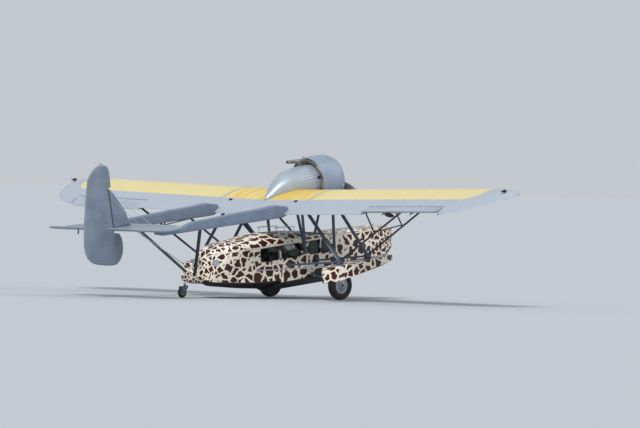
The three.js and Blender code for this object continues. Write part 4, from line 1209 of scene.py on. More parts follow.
fin_outline = [(-4.380, 0.1804), (-4.430, 0.300), (-4.570, 0.600), (-4.890, 1.030),
               (post_x(1.110) + 0.026, 1.110), (post_x(0.200) + 0.026, 0.1804)]
fin_loop = smooth_loop(fin_outline, straight={3, 4, 5})
dress("fin_skin", upright_parts(pillow(fin_loop, 0.060, 0.050), 0.0), SHADED_FIN_AND_RUDDER_FABRIC, "silver_fabric",
      stands_for=["fin"], smooth_angle=50)

rudder_outline = [(-5.160, 1.700), (-5.040, 1.680), (-4.965, 1.600), (-4.935, 1.450), (-4.925, 1.145),
                  (post_x(1.140), 1.140), (post_x(0.060), 0.060), (-4.760, 0.020), (-4.690, -0.110),
                  (-4.670, -0.300), (-4.710, -0.490), (-4.830, -0.650), (-5.020, -0.710), (-5.490, -0.640),
                  (-5.700, -0.550), (-5.820, -0.420), (-5.880, -0.230), (-5.880, 0.010), (-5.820, 0.470),
                  (-5.710, 1.060), (-5.660, 1.290), (-5.620, 1.410), (-5.500, 1.560), (-5.310, 1.690)]
rudder_loop = smooth_loop(rudder_outline, straight={4, 5, 6})
dress("rudder_skin", upright_parts(pillow(rudder_loop, 0.056, 0.060), 0.0), SHADED_FIN_AND_RUDDER_FABRIC, "silver_fabric",
      body="rudder_body", stands_for=["rudder"], smooth_angle=50)

ELEVATOR_PLACE = (LEVEL @ Matrix.Translation((HINGE_TAIL_X, 0.0, TAIL_MIDDLE))
                  @ Matrix.Rotation(ELEVATOR_REST, 4, "Y"))
elevator_outline = [(0.0, 0.070), (0.0, 1.800), (-0.180, 1.880), (-0.430, 1.800), (-0.590, 1.500),
                    (-0.600, 0.480), (-0.420, 0.330)]
for word, side in SIDES:
    loop = [(x, side * y) for x, y in smooth_loop(elevator_outline, straight={0, 4, 5, 6})]
    horn = block((-0.060, side * 1.175 - 0.008, -0.130), (-0.020, side * 1.175 + 0.008, 0.0), 0.002)
    dress(f"elevator_skin_{word}", merged(pillow(loop, 0.056, 0.050), horn), SHADED_TAIL_FABRIC, "silver_fabric",
          body="elevators", stands_for=[f"elevator_{word}"], place=ELEVATOR_PLACE, smooth_angle=50)

# %% [markdown]
# ## Struts
# The struts are wooden spars or steel tubes with a streamlined section: round in front, thin behind. Each
# runs from the hull or a float into the wing and narrows at its ends, and bolts and steel pads hold some of
# its feet.

# %% Streamlined struts
PORT_SIDE = [(0.44, 0.24), (0.30, 0.40), (0.12, 0.49), (-0.08, 0.48), (-0.28, 0.34), (-0.42, 0.16)]
STRUT_SECTION = [(0.50, 0.0), *PORT_SIDE, (-0.50, 0.0), *[(f, -s) for f, s in reversed(PORT_SIDE)]]
STRUT_END = 0.6


def strut(start, end, wide, thick, run=0.16):
    """A streamlined strut whose blunt edge points forward; over run metres its ends narrow to STRUT_END."""
    start, end = Vector(start), Vector(end)
    length = (end - start).length
    way = (end - start).normalized()
    front = (Vector((1, 0, 0)) - way * way.x).normalized()
    side = way.cross(front)
    run = min(run, length * 0.3)
    between = STRUT_END + (1 - STRUT_END) * 0.35
    marks = [(0.0, STRUT_END), (run * 0.35, between), (run, 1.0),
             (length - run, 1.0), (length - run * 0.35, between), (length, STRUT_END)]
    rings = [[start + way * d + front * (f * wide * size) + side * (s * thick * (0.5 + size / 2))
              for f, s in STRUT_SECTION] for d, size in marks]
    return ring_skin(rings)


def bolt(centre, axis, radius, length):
    """A round-headed bolt through a fitting."""
    profile = [(-length / 2 - radius * 0.6, radius * 0.5), (-length / 2 - radius * 0.4, radius * 1.5),
               (-length / 2, radius * 1.6), (-length / 2, radius), (length / 2, radius),
               (length / 2, radius * 1.6), (length / 2 + radius * 0.8, radius * 1.5),
               (length / 2 + radius * 0.8, radius * 0.9)]
    return turned(profile, centre, axis, 12)


def foot_plate(side, x0, x1, z0, z1, thick):
    """A steel pad screwed to the hull's side."""
    y0, y1 = side * (HULL_HALF + 0.001), side * (HULL_HALF + thick)
    return block((x0, min(y0, y1), z0), (x1, max(y0, y1), z1), 0.004)


REAR_SPAR, FRONT_SPAR = 0.0, 0.936
FITTING_Z = {REAR_SPAR: -1.150, FRONT_SPAR: -1.115}
SPREADER_Z = -1.290
JURY_FOOT_Y, JURY_TOP_Y = 3.777, 3.480
CABANE_FOOT = (0.565, -1.040)
STRUT_SETS = (("rear", REAR_SPAR, 1.424, 4.900), ("front", FRONT_SPAR, 1.521, 4.750))
for word, side in SIDES:
    jury_ends = []
    for row, x, inner_y, outer_y in STRUT_SETS:
        foot = Vector((x, side * FLOAT_Y, FITTING_Z[x]))
        deck = along(FLOAT_FRAMES, x, 2)
        pedestal = block((x - 0.073, side * FLOAT_Y - 0.060, deck + 0.001),
                         (x + 0.073, side * FLOAT_Y + 0.060, FITTING_Z[x] + 0.053), 0.010)
        flange = block((x - 0.110, side * FLOAT_Y - 0.100, deck + 0.001),
                       (x + 0.110, side * FLOAT_Y + 0.100, deck + 0.009), 0.002)
        vee = merged(strut((x, side * inner_y, 0.060), foot, 0.112, 0.058),
                     strut((x, side * (HULL_HALF + 0.014), SPREADER_Z),
                           (x, side * FLOAT_Y, FITTING_Z[x] - 0.020), 0.090, 0.046), pedestal, flange,
                     bolt(foot, (1, 0, 0), 0.012, 0.150),
                     foot_plate(side, x - 0.060, x + 0.060, SPREADER_Z - 0.050, SPREADER_Z + 0.050, 0.024))
        dress(f"inner_strut_skin_{row}_{word}", vee, STRUT_PAINT, "strut_paint",
              stands_for=[f"inner_strut_{row}_{word}"], smooth_angle=45)

        top = Vector((x, side * outer_y, DIHEDRAL * outer_y + 0.060))
        outer = strut(top, foot + (top - foot).normalized() * 0.058, 0.082, 0.042)
        dress(f"outer_strut_skin_{row}_{word}", outer, SHADED_STRUT_PAINT, "strut_paint",
              stands_for=[f"outer_strut_{row}_{word}"], smooth_angle=45)
        share = (JURY_FOOT_Y - FLOAT_Y) / (outer_y - FLOAT_Y)
        jury_ends.append(Vector((x, side * JURY_FOOT_Y, lerp(foot.z, top.z, share))))

    rear_end, front_end = jury_ends
    lift = Vector((0.0, -side * 0.022, 0.030))
    jury = merged(
        strut((REAR_SPAR, side * JURY_TOP_Y, 0.120), rear_end, 0.044, 0.026, run=0.06),
        strut((FRONT_SPAR, side * JURY_TOP_Y, 0.120), front_end, 0.044, 0.026, run=0.06),
        swept([rear_end + lift, front_end + lift], round_section(0.014, 10)),
    )
    dress(f"jury_strut_skin_{word}", jury, SHADED_STRUT_PAINT, "strut_paint",
          stands_for=[f"jury_strut_{word}"], smooth_angle=45)

    foot_x, foot_z = CABANE_FOOT
    footing = Vector((foot_x, side * (HULL_HALF + 0.022), foot_z))
    cabane = merged(
        strut((REAR_SPAR, side * 1.100, 0.060), footing, 0.084, 0.042),
        strut((REAR_SPAR, side * 1.290, 0.060), footing, 0.084, 0.042),
        foot_plate(side, foot_x - 0.065, foot_x + 0.065, foot_z - 0.050, foot_z + 0.060, 0.036),
        bolt(footing, (1, 0, 0), 0.010, 0.110),
    )
    dress(f"cabane_rear_skin_{word}", cabane, STRUT_PAINT, "strut_paint",
          stands_for=[f"cabane_rear_{word}"], smooth_angle=45)
    front_foot = (1.200, side * 0.390, shell_point(1.200, side * 0.390).z - 0.004)
    front = strut((FRONT_SPAR, side * 0.956, 0.060), front_foot, 0.084, 0.042)
    dress(f"cabane_front_skin_{word}", front, STRUT_PAINT, "strut_paint",
          stands_for=[f"cabane_front_{word}"], smooth_angle=45)

    stern = strut((-3.240, side * (BOOM_Y - 0.050), 0.020), (-2.517, side * 0.059, -1.287), 0.105, 0.042)
    dress(f"stern_strut_skin_{word}", stern, SHADED_STRUT_PAINT, "strut_paint",
          stands_for=[f"stern_strut_{word}"], smooth_angle=45)

# %% [markdown]
# ## What repeats
# Fins, bolts and rivets are the same small part many times over. Two node trees set them out: one
# moves and turns each copy a little more than the copy before, for stacks and rings, and the other puts
# studs along a path.

# %% Node trees for stacks, rings and rows of studs
def start_tree(name, output, *inputs):
    """A node tree with one output and with inputs given as (name, kind, value), and its input sockets."""
    tree = bpy.data.node_groups.new(name, "GeometryNodeTree")
    for title, kind, value in inputs:
        socket = tree.interface.new_socket(name=title, in_out="INPUT", socket_type="NodeSocket" + kind)
        if value is not None:
            socket.default_value = value
    tree.interface.new_socket(name=output, in_out="OUTPUT", socket_type="NodeSocketGeometry")
    return tree, add(tree, "NodeGroupInput").outputs


def hand_out(tree, instances, material):
    """Makes the copies real, paints them and gives them out."""
    real = add(tree, "GeometryNodeRealizeInstances", {0: instances})
    painted = add(tree, "GeometryNodeSetMaterial", {"Geometry": real.outputs[0], "Material": material})
    add(tree, "NodeGroupOutput", {0: painted.outputs[0]})


def step_and_turn_tree():
    """Each copy is moved by Step and turned about X by Turn more than the one before."""
    tree, given = start_tree("step_and_turn", "Copies", ("Part", "Geometry", None), ("Count", "Int", 2),
                             ("Step", "Vector", (0.0, 0.0, 0.0)), ("Turn", "Float", 0.0),
                             ("Material", "Material", None))
    index = add(tree, "GeometryNodeInputIndex").outputs[0]
    moved = add(tree, "ShaderNodeVectorMath", {0: given["Step"], "Scale": index}, operation="SCALE")
    angle = add(tree, "ShaderNodeMath", {0: given["Turn"], 1: index}, operation="MULTIPLY")
    turn = add(tree, "ShaderNodeCombineXYZ", {0: angle.outputs[0]})
    points = add(tree, "GeometryNodePoints", {"Count": given["Count"], "Position": moved.outputs[0]})
    copies = add(tree, "GeometryNodeInstanceOnPoints",
                 {"Points": points.outputs[0], "Instance": given["Part"], "Rotation": turn.outputs[0]})
    hand_out(tree, copies.outputs[0], given["Material"])
    return tree


def studs_tree():
    """Round-headed studs every Pitch along the edges of the mesh, with heads of radius Head."""
    tree, given = start_tree("studs_along_a_path", "Studs", ("Path", "Geometry", None),
                             ("Pitch", "Float", 0.06), ("Head", "Float", 0.004),
                             ("Material", "Material", None))
    curve = add(tree, "GeometryNodeMeshToCurve", {0: given["Path"]})
    even = add(tree, "GeometryNodeResampleCurve", {"Curve": curve.outputs[0], "Length": given["Pitch"]},
               mode="LENGTH")
    head = add(tree, "GeometryNodeMeshUVSphere", {"Segments": 8, "Rings": 5, "Radius": given["Head"]})
    studs = add(tree, "GeometryNodeInstanceOnPoints",
                {"Points": even.outputs[0], "Instance": head.outputs[0]})
    hand_out(tree, studs.outputs[0], given["Material"])
    return tree


STEP_AND_TURN, STUDS = step_and_turn_tree(), studs_tree()


def through_tree(made, settings):
    """Runs an object through (tree, values) pairs and leaves the result as its own plain mesh."""
    for tree, values in settings:
        modifier = made.modifiers.new(tree.name, "NODES")
        modifier.node_group = tree
        for item in tree.interface.items_tree:
            if item.item_type == "SOCKET" and item.in_out == "INPUT" and item.name in values:
                modifier[item.identifier] = values[item.name]
    return plain_mesh(made)


def repeated(name, part, arrays, material, place=LEVEL):
    """Copies of a part; arrays lists (count, step, turn in degrees), each applied to the last result."""
    made = mesh_object(name, *part, place=Matrix.Identity(4))
    through_tree(made, [(STEP_AND_TURN, {"Count": count, "Step": step, "Turn": math.radians(turn),
                                         "Material": material}) for count, step, turn in arrays])
    made.data.transform(place)
    return made


def studded(name, paths, pitch, head, material):
    """Studs along paths, which are lists of points."""
    verts, edges = [], []
    for path in paths:
        start = len(verts)
        verts += [LEVEL @ Vector(p) for p in path]
        edges += [(start + i, start + i + 1) for i in range(len(path) - 1)]
    mesh = bpy.data.meshes.new(name)
    mesh.from_pydata(verts, edges, [])
    made = bpy.data.objects.new(name, mesh)
    bpy.context.scene.collection.objects.link(made)
    through_tree(made, [(STUDS, {"Pitch": pitch, "Head": head, "Material": material})])
    for face in made.data.polygons:
        face.use_smooth = True
    return made


def finish_piece(made, body="airframe"):
    """Sets a piece that already has its material on its body."""
    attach(made, body)
    return made


print("node trees:", STEP_AND_TURN.name, STUDS.name)

# %% [markdown]
# ## Engine
# A radial engine has its cylinders in a star round the crankcase. Each cylinder is a barrel with thin
# cooling fins under a broader finned head, two pushrod tubes stand in front of it, and an intake pipe
# behind it.

# %% Engine
CYLINDERS, CYLINDER_X, HEAD_RADIUS = 9, 1.850, 0.578
SHAFT = LEVEL @ Matrix.Translation((0.0, 0.0, SHAFT_Z))
star = (CYLINDERS, (0.0, 0.0, 0.0), 360.0 / CYLINDERS)
crankcase = turned([(1.5504, 0.010), (1.551, 0.245), (1.640, 0.262), (1.700, 0.268), (1.715, 0.262),
                    (1.960, 0.252), (1.985, 0.240), (2.000, 0.215), (2.075, 0.188), (2.095, 0.160),
                    (2.150, 0.112), (2.163, 0.100), (2.164, 0.010)], (0, 0, SHAFT_Z), (1, 0, 0), 40)
dress("engine_crankcase", crankcase, DARK_METAL, "engine_metal", stands_for=["engine"], smooth_angle=35)

barrel = turned([(0.215, 0.074), (0.520, 0.074)], (CYLINDER_X, 0, 0), (0, 0, 1), 20)
rocker_boxes = [block((CYLINDER_X + x - 0.034, y - 0.030, 0.500),
                      (CYLINDER_X + x + 0.034, y + 0.030, HEAD_RADIUS - 0.004), 0.012)
                for x, y in ((0.0, -0.060), (0.0, 0.060))]
pushrods = [swept([(CYLINDER_X + 0.105, y * 0.55, 0.235), (CYLINDER_X + 0.070, y, 0.530)],
                  round_section(0.010, 10)) for y in (-0.052, 0.052)]
intake = swept([(CYLINDER_X - 0.150, 0.045, 0.250), (CYLINDER_X - 0.150, 0.055, 0.420),
                (CYLINDER_X - 0.105, 0.056, 0.500), (CYLINDER_X - 0.050, 0.056, 0.520)],
               round_section(0.024, 12))
cylinders = repeated("engine_cylinders", merged(barrel, *rocker_boxes, *pushrods, intake), [star],
                     DARK_METAL, SHAFT)
finish_piece(cylinders)
FIN_COUNT, FIN_PITCH = 15, 0.0125
barrel_fin = turned([(0.0, 0.070), (0.0, 0.086), (0.0035, 0.086), (0.0035, 0.070)], (CYLINDER_X, 0, 0.262),
                    (0, 0, 1), 24)
fins = repeated("engine_cylinder_fins", barrel_fin, [(FIN_COUNT, (0.0, 0.0, FIN_PITCH), 0.0), star],
                BARE_METAL, SHAFT)
finish_piece(fins)
head_fin = block((CYLINDER_X - 0.058, -0.094, 0.462), (CYLINDER_X + 0.058, 0.094, 0.4655), 0.001)
head_fins = repeated("engine_head_fins", head_fin, [(8, (0.0, 0.0, 0.0115), 0.0), star], BARE_METAL, SHAFT)
finish_piece(head_fins)
case_bolt = turned([(0.0, 0.009), (0.010, 0.009), (0.012, 0.007)], (2.000, 0.0, 0.200), (1, 0, 0), 6)
case_bolts = repeated("engine_case_bolts", case_bolt, [(18, (0.0, 0.0, 0.0), 20.0)], BARE_METAL, SHAFT)
finish_piece(case_bolts)

# %% Propeller
PROPELLER_X, PROPELLER_TURN = 2.307, 115.0
# Columns: radius, chord, thickness, pitch in degrees
BLADE_FRAMES = [(0.060, 0.120, 0.100, 60.0), (0.250, 0.170, 0.060, 42.0), (0.600, 0.220, 0.034, 26.0),
                (1.000, 0.170, 0.018, 18.0), (1.170, 0.060, 0.010, 16.0)]
PROPELLER_PLACE = (LEVEL @ Matrix.Translation((PROPELLER_X, 0.0, SHAFT_Z))
                   @ Matrix.Rotation(math.radians(PROPELLER_TURN), 4, "X"))


def blade_ring(row):
    radius, wide, deep, pitch = row
    tilt = math.radians(pitch)
    ring = []
    for angle in full_turn(24):
        u, v = wide / 2 * math.cos(angle), deep / 2 * math.sin(angle)
        ring.append(Vector((u * math.sin(tilt) + v * math.cos(tilt),
                            u * math.cos(tilt) - v * math.sin(tilt), radius)))
    return ring


blade_rows = between_columns(BLADE_FRAMES, 7)
tip_rows = [[1.168, 0.052, 0.009, 16.0], [1.170, 0.030, 0.006, 16.0]]
blade_part = ring_skin([blade_ring(row) for row in blade_rows[:-1] + tip_rows])
blades = repeated("propeller_blades", blade_part, [(2, (0.0, 0.0, 0.0), 180.0)], BARE_METAL,
                  PROPELLER_PLACE)
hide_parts("propeller")
finish_piece(blades, "propeller_body")
barrel_profile = [(-0.124, 0.060), (-0.122, 0.083), (-0.060, 0.085), (0.036, 0.085), (0.050, 0.080),
                  (0.052, 0.050), (0.086, 0.048), (0.090, 0.040), (0.118, 0.024), (0.120, 0.008)]
socket_profile = [(0.070, 0.072), (0.080, 0.078), (0.120, 0.078), (0.130, 0.070)]
hub_shape = merged(turned(barrel_profile, (0, 0, 0), (1, 0, 0), 32),
                   *[turned(socket_profile, (0, 0, 0), (0, 0, way), 24) for way in (-1, 1)])
hub = dress("propeller_hub", hub_shape, DARK_METAL, "propeller_metal", body="propeller_body",
            place=PROPELLER_PLACE, smooth_angle=35)
print("propeller faces:", len(blades.data.polygons) + len(hub.data.polygons))

# %% [markdown]
# ## Landing gear
# Each main wheel hangs on a telescopic leg from the wing and two braces from the hull. Rubber is dark grey
# and not black, with a dusty sheen, because a black tyre would look like a hole in the picture. The tyre
# has running grooves, the sidewall a raised rim guard, and the wheel is a pressed disc with bolts.

# %% Tyre rubber
def rubber(name):
    material, tree, shader = new_material(name)
    place = level_coordinates(tree)
    dust = add(tree, "ShaderNodeTexNoise", {"Vector": place, "Scale": 9.0, "Detail": 5.0})
    dusty = add(tree, "ShaderNodeMapRange", {"Value": dust.outputs[0], "From Min": 0.45, "From Max": 0.75})
    tone = add(tree, "ShaderNodeMix", {"Factor": dusty.outputs[0], 6: srgb("#232426"), 7: srgb("#3a3835")},
               data_type="RGBA")
    tree.links.new(tone.outputs[2], shader.inputs["Base Color"])
    grain = add(tree, "ShaderNodeTexNoise", {"Vector": place, "Scale": 1 / 0.004, "Detail": 2.0})
    bump = add(tree, "ShaderNodeBump", {"Height": grain.outputs[0], "Strength": 0.3, "Distance": 0.0006})
    tree.links.new(bump.outputs[0], shader.inputs["Normal"])
    set_shader(shader, Roughness=0.72)
    return material


RUBBER = rubber("tyre_rubber")
WHEEL_PAINT = plain_paint("silver_wheel_paint", "#a9b0b8", "#8f969e", 0.030, 0.4, metallic=0.4)
CHROME = plain_paint("polished_chrome", "#d5d9dd", "#c4c9cf", 0.020, 0.15, metallic=1.0)
print("wheel materials:", RUBBER.name, WHEEL_PAINT.name, CHROME.name)

# %% Main wheels and legs
WHEEL_X, WHEEL_Y, WHEEL_Z, TYRE_RADIUS = 1.120, 1.250, -1.910, 0.360
AXLE_IN = WHEEL_Y - 0.150
BRACE_XS, BRACE_Z = (0.760, 1.500), -1.600
tread = []
for groove, drop in ((-0.036, 0.008), (-0.012, 0.004)):
    tread += [(groove - 0.0050, TYRE_RADIUS - drop), (groove - 0.0035, TYRE_RADIUS - drop - 0.006),
              (groove + 0.0035, TYRE_RADIUS - drop - 0.006), (groove + 0.0050, TYRE_RADIUS - drop)]
TYRE_PROFILE = mirrored([(-0.062, 0.207), (-0.084, 0.222), (-0.088, 0.236), (-0.0905, 0.262),
                         (-0.092, 0.290), (-0.088, 0.309), (-0.080, 0.324), (-0.070, 0.335),
                         (-0.056, 0.346), (-0.044, 0.350)] + tread)
HUB_PROFILE = [(-0.094, 0.037), (-0.094, 0.078), (-0.090, 0.082), (-0.062, 0.108), (-0.059, 0.120),
               (-0.059, 0.196), (-0.063, 0.204), (0.063, 0.204), (0.066, 0.198), (0.058, 0.186),
               (0.058, 0.150), (0.068, 0.120), (0.072, 0.100), (0.088, 0.078), (0.094, 0.068),
               (0.094, 0.037)]


def wheel_ring(profile, centre, segments, side):
    """A turned wheel part with an open bore, its axis along y; side = 1 puts its outer face to port."""
    rings = [[Vector(centre) + Vector((r * math.sin(a), side * d, r * math.cos(a))) for d, r in profile]
             for a in full_turn(segments)]
    return ring_skin(rings + [rings[0]], caps=False)


for word, side in SIDES:
    centre = (WHEEL_X, side * WHEEL_Y, WHEEL_Z)
    dress(f"tyre_{word}_dressed", wheel_ring(TYRE_PROFILE, centre, 72, side), RUBBER, "tyre_rubber",
          body=f"wheel_{word}", stands_for=[f"tyre_{word}"], smooth_angle=40)
    dress(f"wheel_disc_{word}", wheel_ring(HUB_PROFILE, centre, 48, side), WHEEL_PAINT, "wheel_metal",
          body=f"wheel_{word}", stands_for=[f"hub_{word}"], smooth_angle=35)
    # The tree turns about its X axis, so this matrix lays that axis along the axle
    axle_place = LEVEL @ Matrix.Translation(centre) @ Matrix.Rotation(side * math.pi / 2, 4, "Z")
    wheel_bolt = turned([(0.058, 0.008), (0.068, 0.008), (0.070, 0.006)], (0, 0, 0.168), (1, 0, 0), 6)
    wheel_bolts = repeated(f"wheel_bolts_{word}", wheel_bolt, [(10, (0.0, 0.0, 0.0), 36.0)], CHROME,
                           axle_place)
    finish_piece(wheel_bolts, f"wheel_{word}")

    axle = Vector((WHEEL_X, side * AXLE_IN, WHEEL_Z))
    head = Vector((WHEEL_X, side * 1.190, 0.060))
    down = (axle - head).normalized()
    length = (axle - head).length
    cylinder = [(0.0, 0.037), (length - 0.52, 0.037), (length - 0.515, 0.042), (length - 0.47, 0.042),
                (length - 0.46, 0.036)]
    stub = [(-0.060, 0.030), (-0.058, 0.051), (-0.050, 0.052), (0.0, 0.052), (0.004, 0.046),
            (0.006, 0.030), (0.166, 0.030), (0.170, 0.026)]
    collar = [(length - 0.10, 0.040), (length - 0.09, 0.048), (length - 0.03, 0.050), (length, 0.044)]
    braces = [strut((x, side * (HULL_HALF + 0.016), BRACE_Z), axle - down * 0.01, 0.070, 0.056)
              for x in BRACE_XS]
    pads = [foot_plate(side, x - 0.060, x + 0.060, BRACE_Z - 0.040, BRACE_Z + 0.040, 0.026)
            for x in BRACE_XS]
    bolts = [bolt((x, side * (HULL_HALF + 0.022), BRACE_Z), (1, 0, 0), 0.010, 0.080) for x in BRACE_XS]
    leg = merged(turned(cylinder, head, down, 24), turned(stub, axle, (0, side, 0), 28),
                 turned(collar, head, down, 24), *braces, *pads, *bolts)
    dress(f"gear_leg_skin_{word}", leg, STRUT_PAINT, "strut_paint", stands_for=[f"gear_leg_{word}"],
          smooth_angle=40)
    piston = turned([(length - 0.475, 0.031), (length - 0.085, 0.031)], head, down, 24)
    dress(f"gear_leg_piston_{word}", piston, CHROME, "wheel_metal", smooth_angle=40)
print("tyre radius and width:", TYRE_RADIUS, round(TYRE_PROFILE[-1][0] * 2, 3))

# %% Tail wheel
TAIL_WHEEL_X, TAIL_WHEEL_Z, SWIVEL_X, SWIVEL_Z = -2.900, -1.620, -2.800, -1.400
pivot_profile = [(-0.0755, 0.024), (-0.074, 0.026), (-0.007, 0.026)]
axle_profile = mirrored([(-0.062, 0.012), (-0.060, 0.020), (-0.050, 0.020), (-0.050, 0.014)])
fork_parts = [turned(pivot_profile, (SWIVEL_X, 0, SWIVEL_Z), (0, 0, 1), 24),
              block((SWIVEL_X - 0.150, -0.058, SWIVEL_Z - 0.090),
                    (SWIVEL_X + 0.060, 0.058, SWIVEL_Z - 0.070), 0.006),
              turned(axle_profile, (TAIL_WHEEL_X, 0, TAIL_WHEEL_Z), (0, 1, 0), 16)]
for side in (-1, 1):
    arm = [(SWIVEL_X + x, SWIVEL_Z + z) for x, z in (
        (-0.150, -0.072), (-0.150, -0.250), (-0.060, -0.250), (0.058, -0.110), (0.058, -0.072))]
    arm_plate = pillow(smooth_loop(arm, straight={0, 1, 2, 3, 4}), 0.016, 0.005, 3)
    fork_parts.append(upright_parts(arm_plate, side * 0.050))
dress("tail_fork_skin", merged(*fork_parts), STRUT_PAINT, "strut_paint", body="tail_caster",
      stands_for=["tail_fork"], smooth_angle=35)
tail_profile = mirrored([(-0.035, 0.022), (-0.036, 0.050), (-0.031, 0.062), (-0.036, 0.070),
                         (-0.036, 0.096), (-0.030, 0.115), (-0.018, 0.127), (-0.006, 0.130)])
tail_ring = wheel_ring(tail_profile, (TAIL_WHEEL_X, 0, TAIL_WHEEL_Z), 48, 1)
tail_tyre = mesh_object("tail_wheel_dressed", *tail_ring, smooth_angle=35)
tail_tyre.data.materials.append(RUBBER)
tail_tyre.data.materials.append(WHEEL_PAINT)
for face in tail_tyre.data.polygons:
    centre = LEVEL.inverted() @ face.center - Vector((TAIL_WHEEL_X, 0, TAIL_WHEEL_Z))
    face.material_index = 1 if math.hypot(centre.x, centre.z) < 0.064 else 0
fit(tail_tyre, None, body="tail_wheel_body", stands_for=["tail_wheel"])
print("tail wheel faces:", len(tail_tyre.data.polygons))

# %% [markdown]
# ## Glass
# The panes are clear sheets behind the frames. Thin flat glass moves nothing sideways, and what the eye
# notes is its reflection. So the shader is mostly see-through, which also lets lamplight into the cabin,
# and keeps a dark glossy film with a faint green in it. The film's dark is painted shade of the cabin
# behind.

# %% Window glass
def clear_glass(name, tint):
    material, tree, shader = new_material(name)
    place = level_coordinates(tree)
    film = add(tree, "ShaderNodeTexNoise", {"Vector": place, "Scale": 5.0, "Detail": 3.0})
    rough = add(tree, "ShaderNodeMapRange", {"Value": film.outputs[0], "To Min": 0.0, "To Max": 0.06})
    tree.links.new(rough.outputs[0], shader.inputs["Roughness"])
    # Both faces of a pane reflect, and the see-through part doesn't, so the index is above that of
    # real glass
    set_shader(shader, Base_Color=srgb(tint), Alpha=0.32, IOR=1.9)
    return material


# The dark film on the panes is painted shade of the cabin behind them
GLASS = clear_glass("window_glass_with_painted_shade_film", "#1a2322")
GLASS_LOW, GLASS_HIGH = SILL_Z - 0.040, GUNWALE_Z - 0.005
for word, side in SIDES:
    pane_outline = [(-0.930, GLASS_LOW), (1.640, GLASS_LOW), (1.370, GLASS_HIGH), (-0.930, GLASS_HIGH)]
    pane_place = LEVEL @ Matrix.Translation((0.0, side * (HULL_HALF - WALL - 0.0043), 0.0)) @ UPRIGHT
    pane = filled_plate(f"side_pane_{word}", pane_outline, [], 0.006, pane_place)
    fit(pane, GLASS, stands_for=[f"side_glass_{word}"])
screen_pane = shell_piece("windshield_pane", [0.820, 1.630], mirrored_marks(0.600, 0.640), nowhere,
                          thickness=0.005, inset=0.0315)
fit(screen_pane, GLASS, stands_for=["windshield_glass"])
print("panes:", len(screen_pane.data.polygons))

# %% [markdown]
# ## Cabin
# Through the windows one sees dark grey lining, red leather and the panel. Leather is smooth and a little
# shiny with a fine grain, darker in random patches. The cushions are made as an upholsterer fills them: a
# loose case somewhat smaller than its place is blown up by a cloth simulation, and the sewn channels are
# pressed in afterwards.

# %% Leather, lining and panel paint
def leather(name, colour, dark):
    material, tree, shader = new_material(name)
    place = level_coordinates(tree)
    wear = add(tree, "ShaderNodeTexNoise", {"Vector": place, "Scale": 6.0, "Detail": 4.0})
    tone = add(tree, "ShaderNodeMix", {"Factor": wear.outputs[0], 6: srgb(colour), 7: srgb(dark)},
               data_type="RGBA")
    tree.links.new(tone.outputs[2], shader.inputs["Base Color"])
    pores = add(tree, "ShaderNodeTexVoronoi", {"Vector": place, "Scale": 1 / 0.003},
                feature="DISTANCE_TO_EDGE")
    bump = add(tree, "ShaderNodeBump", {"Height": pores.outputs["Distance"], "Strength": 0.35,
                                        "Distance": 0.0008})
    tree.links.new(bump.outputs[0], shader.inputs["Normal"])
    rough = add(tree, "ShaderNodeMapRange", {"Value": wear.outputs[0], "To Min": 0.36, "To Max": 0.55})
    tree.links.new(rough.outputs[0], shader.inputs["Roughness"])
    return material


SEAT_LEATHER = leather("red_seat_leather", "#96282b", "#6f1d21")
LINING = plain_paint("dark_grey_wool_lining", "#3f4246", "#34373b", 0.004, 0.9, bump_depth=0.002)
PANEL_PAINT = plain_paint("black_crackle_panel_paint", "#202226", "#17191c", 0.003, 0.6)
DIAL_FACE = plain_paint("black_dial_face", "#111214", "#16181b", 0.010, 0.3)
NEEDLE_WHITE = plain_paint("white_needle_paint", "#e8e6df", "#dbd9d2", 0.010, 0.5)
print("cabin materials:", SEAT_LEATHER.name, LINING.name, PANEL_PAINT.name)

# %% Cabin lining
LINING_HALF = HULL_HALF - WALL - 0.002
lining_parts = [block((CABIN_REAR + 0.004, -LINING_HALF, FLOOR_Z + 0.001),
                      (CABIN_FRONT - 0.004, LINING_HALF, FLOOR_Z + 0.004)),
                block((CABIN_REAR + 0.001, -0.600, FLOOR_Z + 0.005), (CABIN_REAR + 0.006, 0.600, -0.700)),
                block((CABIN_FRONT - 0.006, -0.600, FLOOR_Z + 0.005),
                      (CABIN_FRONT - 0.001, 0.600, -0.780))]
for side in (-1, 1):
    inner, outer = sorted((side * (LINING_HALF - 0.006), side * LINING_HALF))
    lining_parts.append(block((CABIN_REAR + 0.004, inner, FLOOR_Z + 0.005),
                              (CABIN_FRONT - 0.008, outer, SILL_Z - 0.046)))
lining = dress("cabin_lining", merged(*lining_parts), LINING, "panel_black", smooth_angle=0, turn_out=False)
HATCH_MARGIN = 0.010
roof_lining = shell_piece("roof_lining", [CABIN_REAR + 0.010, HATCH_REAR - HATCH_MARGIN,
                                          HATCH_FRONT + HATCH_MARGIN, ROOF_FRONT - 0.004],
                          mirrored_marks(HATCH_HALF + HATCH_MARGIN, 0.560, 0.600),
                          lambda x, y: in_hatch(x, y, HATCH_MARGIN),
                          thickness=0.003, inset=0.0275)
fit(roof_lining, LINING)
print("lining faces:", len(lining.data.polygons) + len(roof_lining.data.polygons))

# %% Cushions
VOXEL, SIM_FRAMES, SWELL = 0.008, 20, 0.014
CHANNEL_DEPTH, CHANNEL_WIDTH = 0.012, 0.009


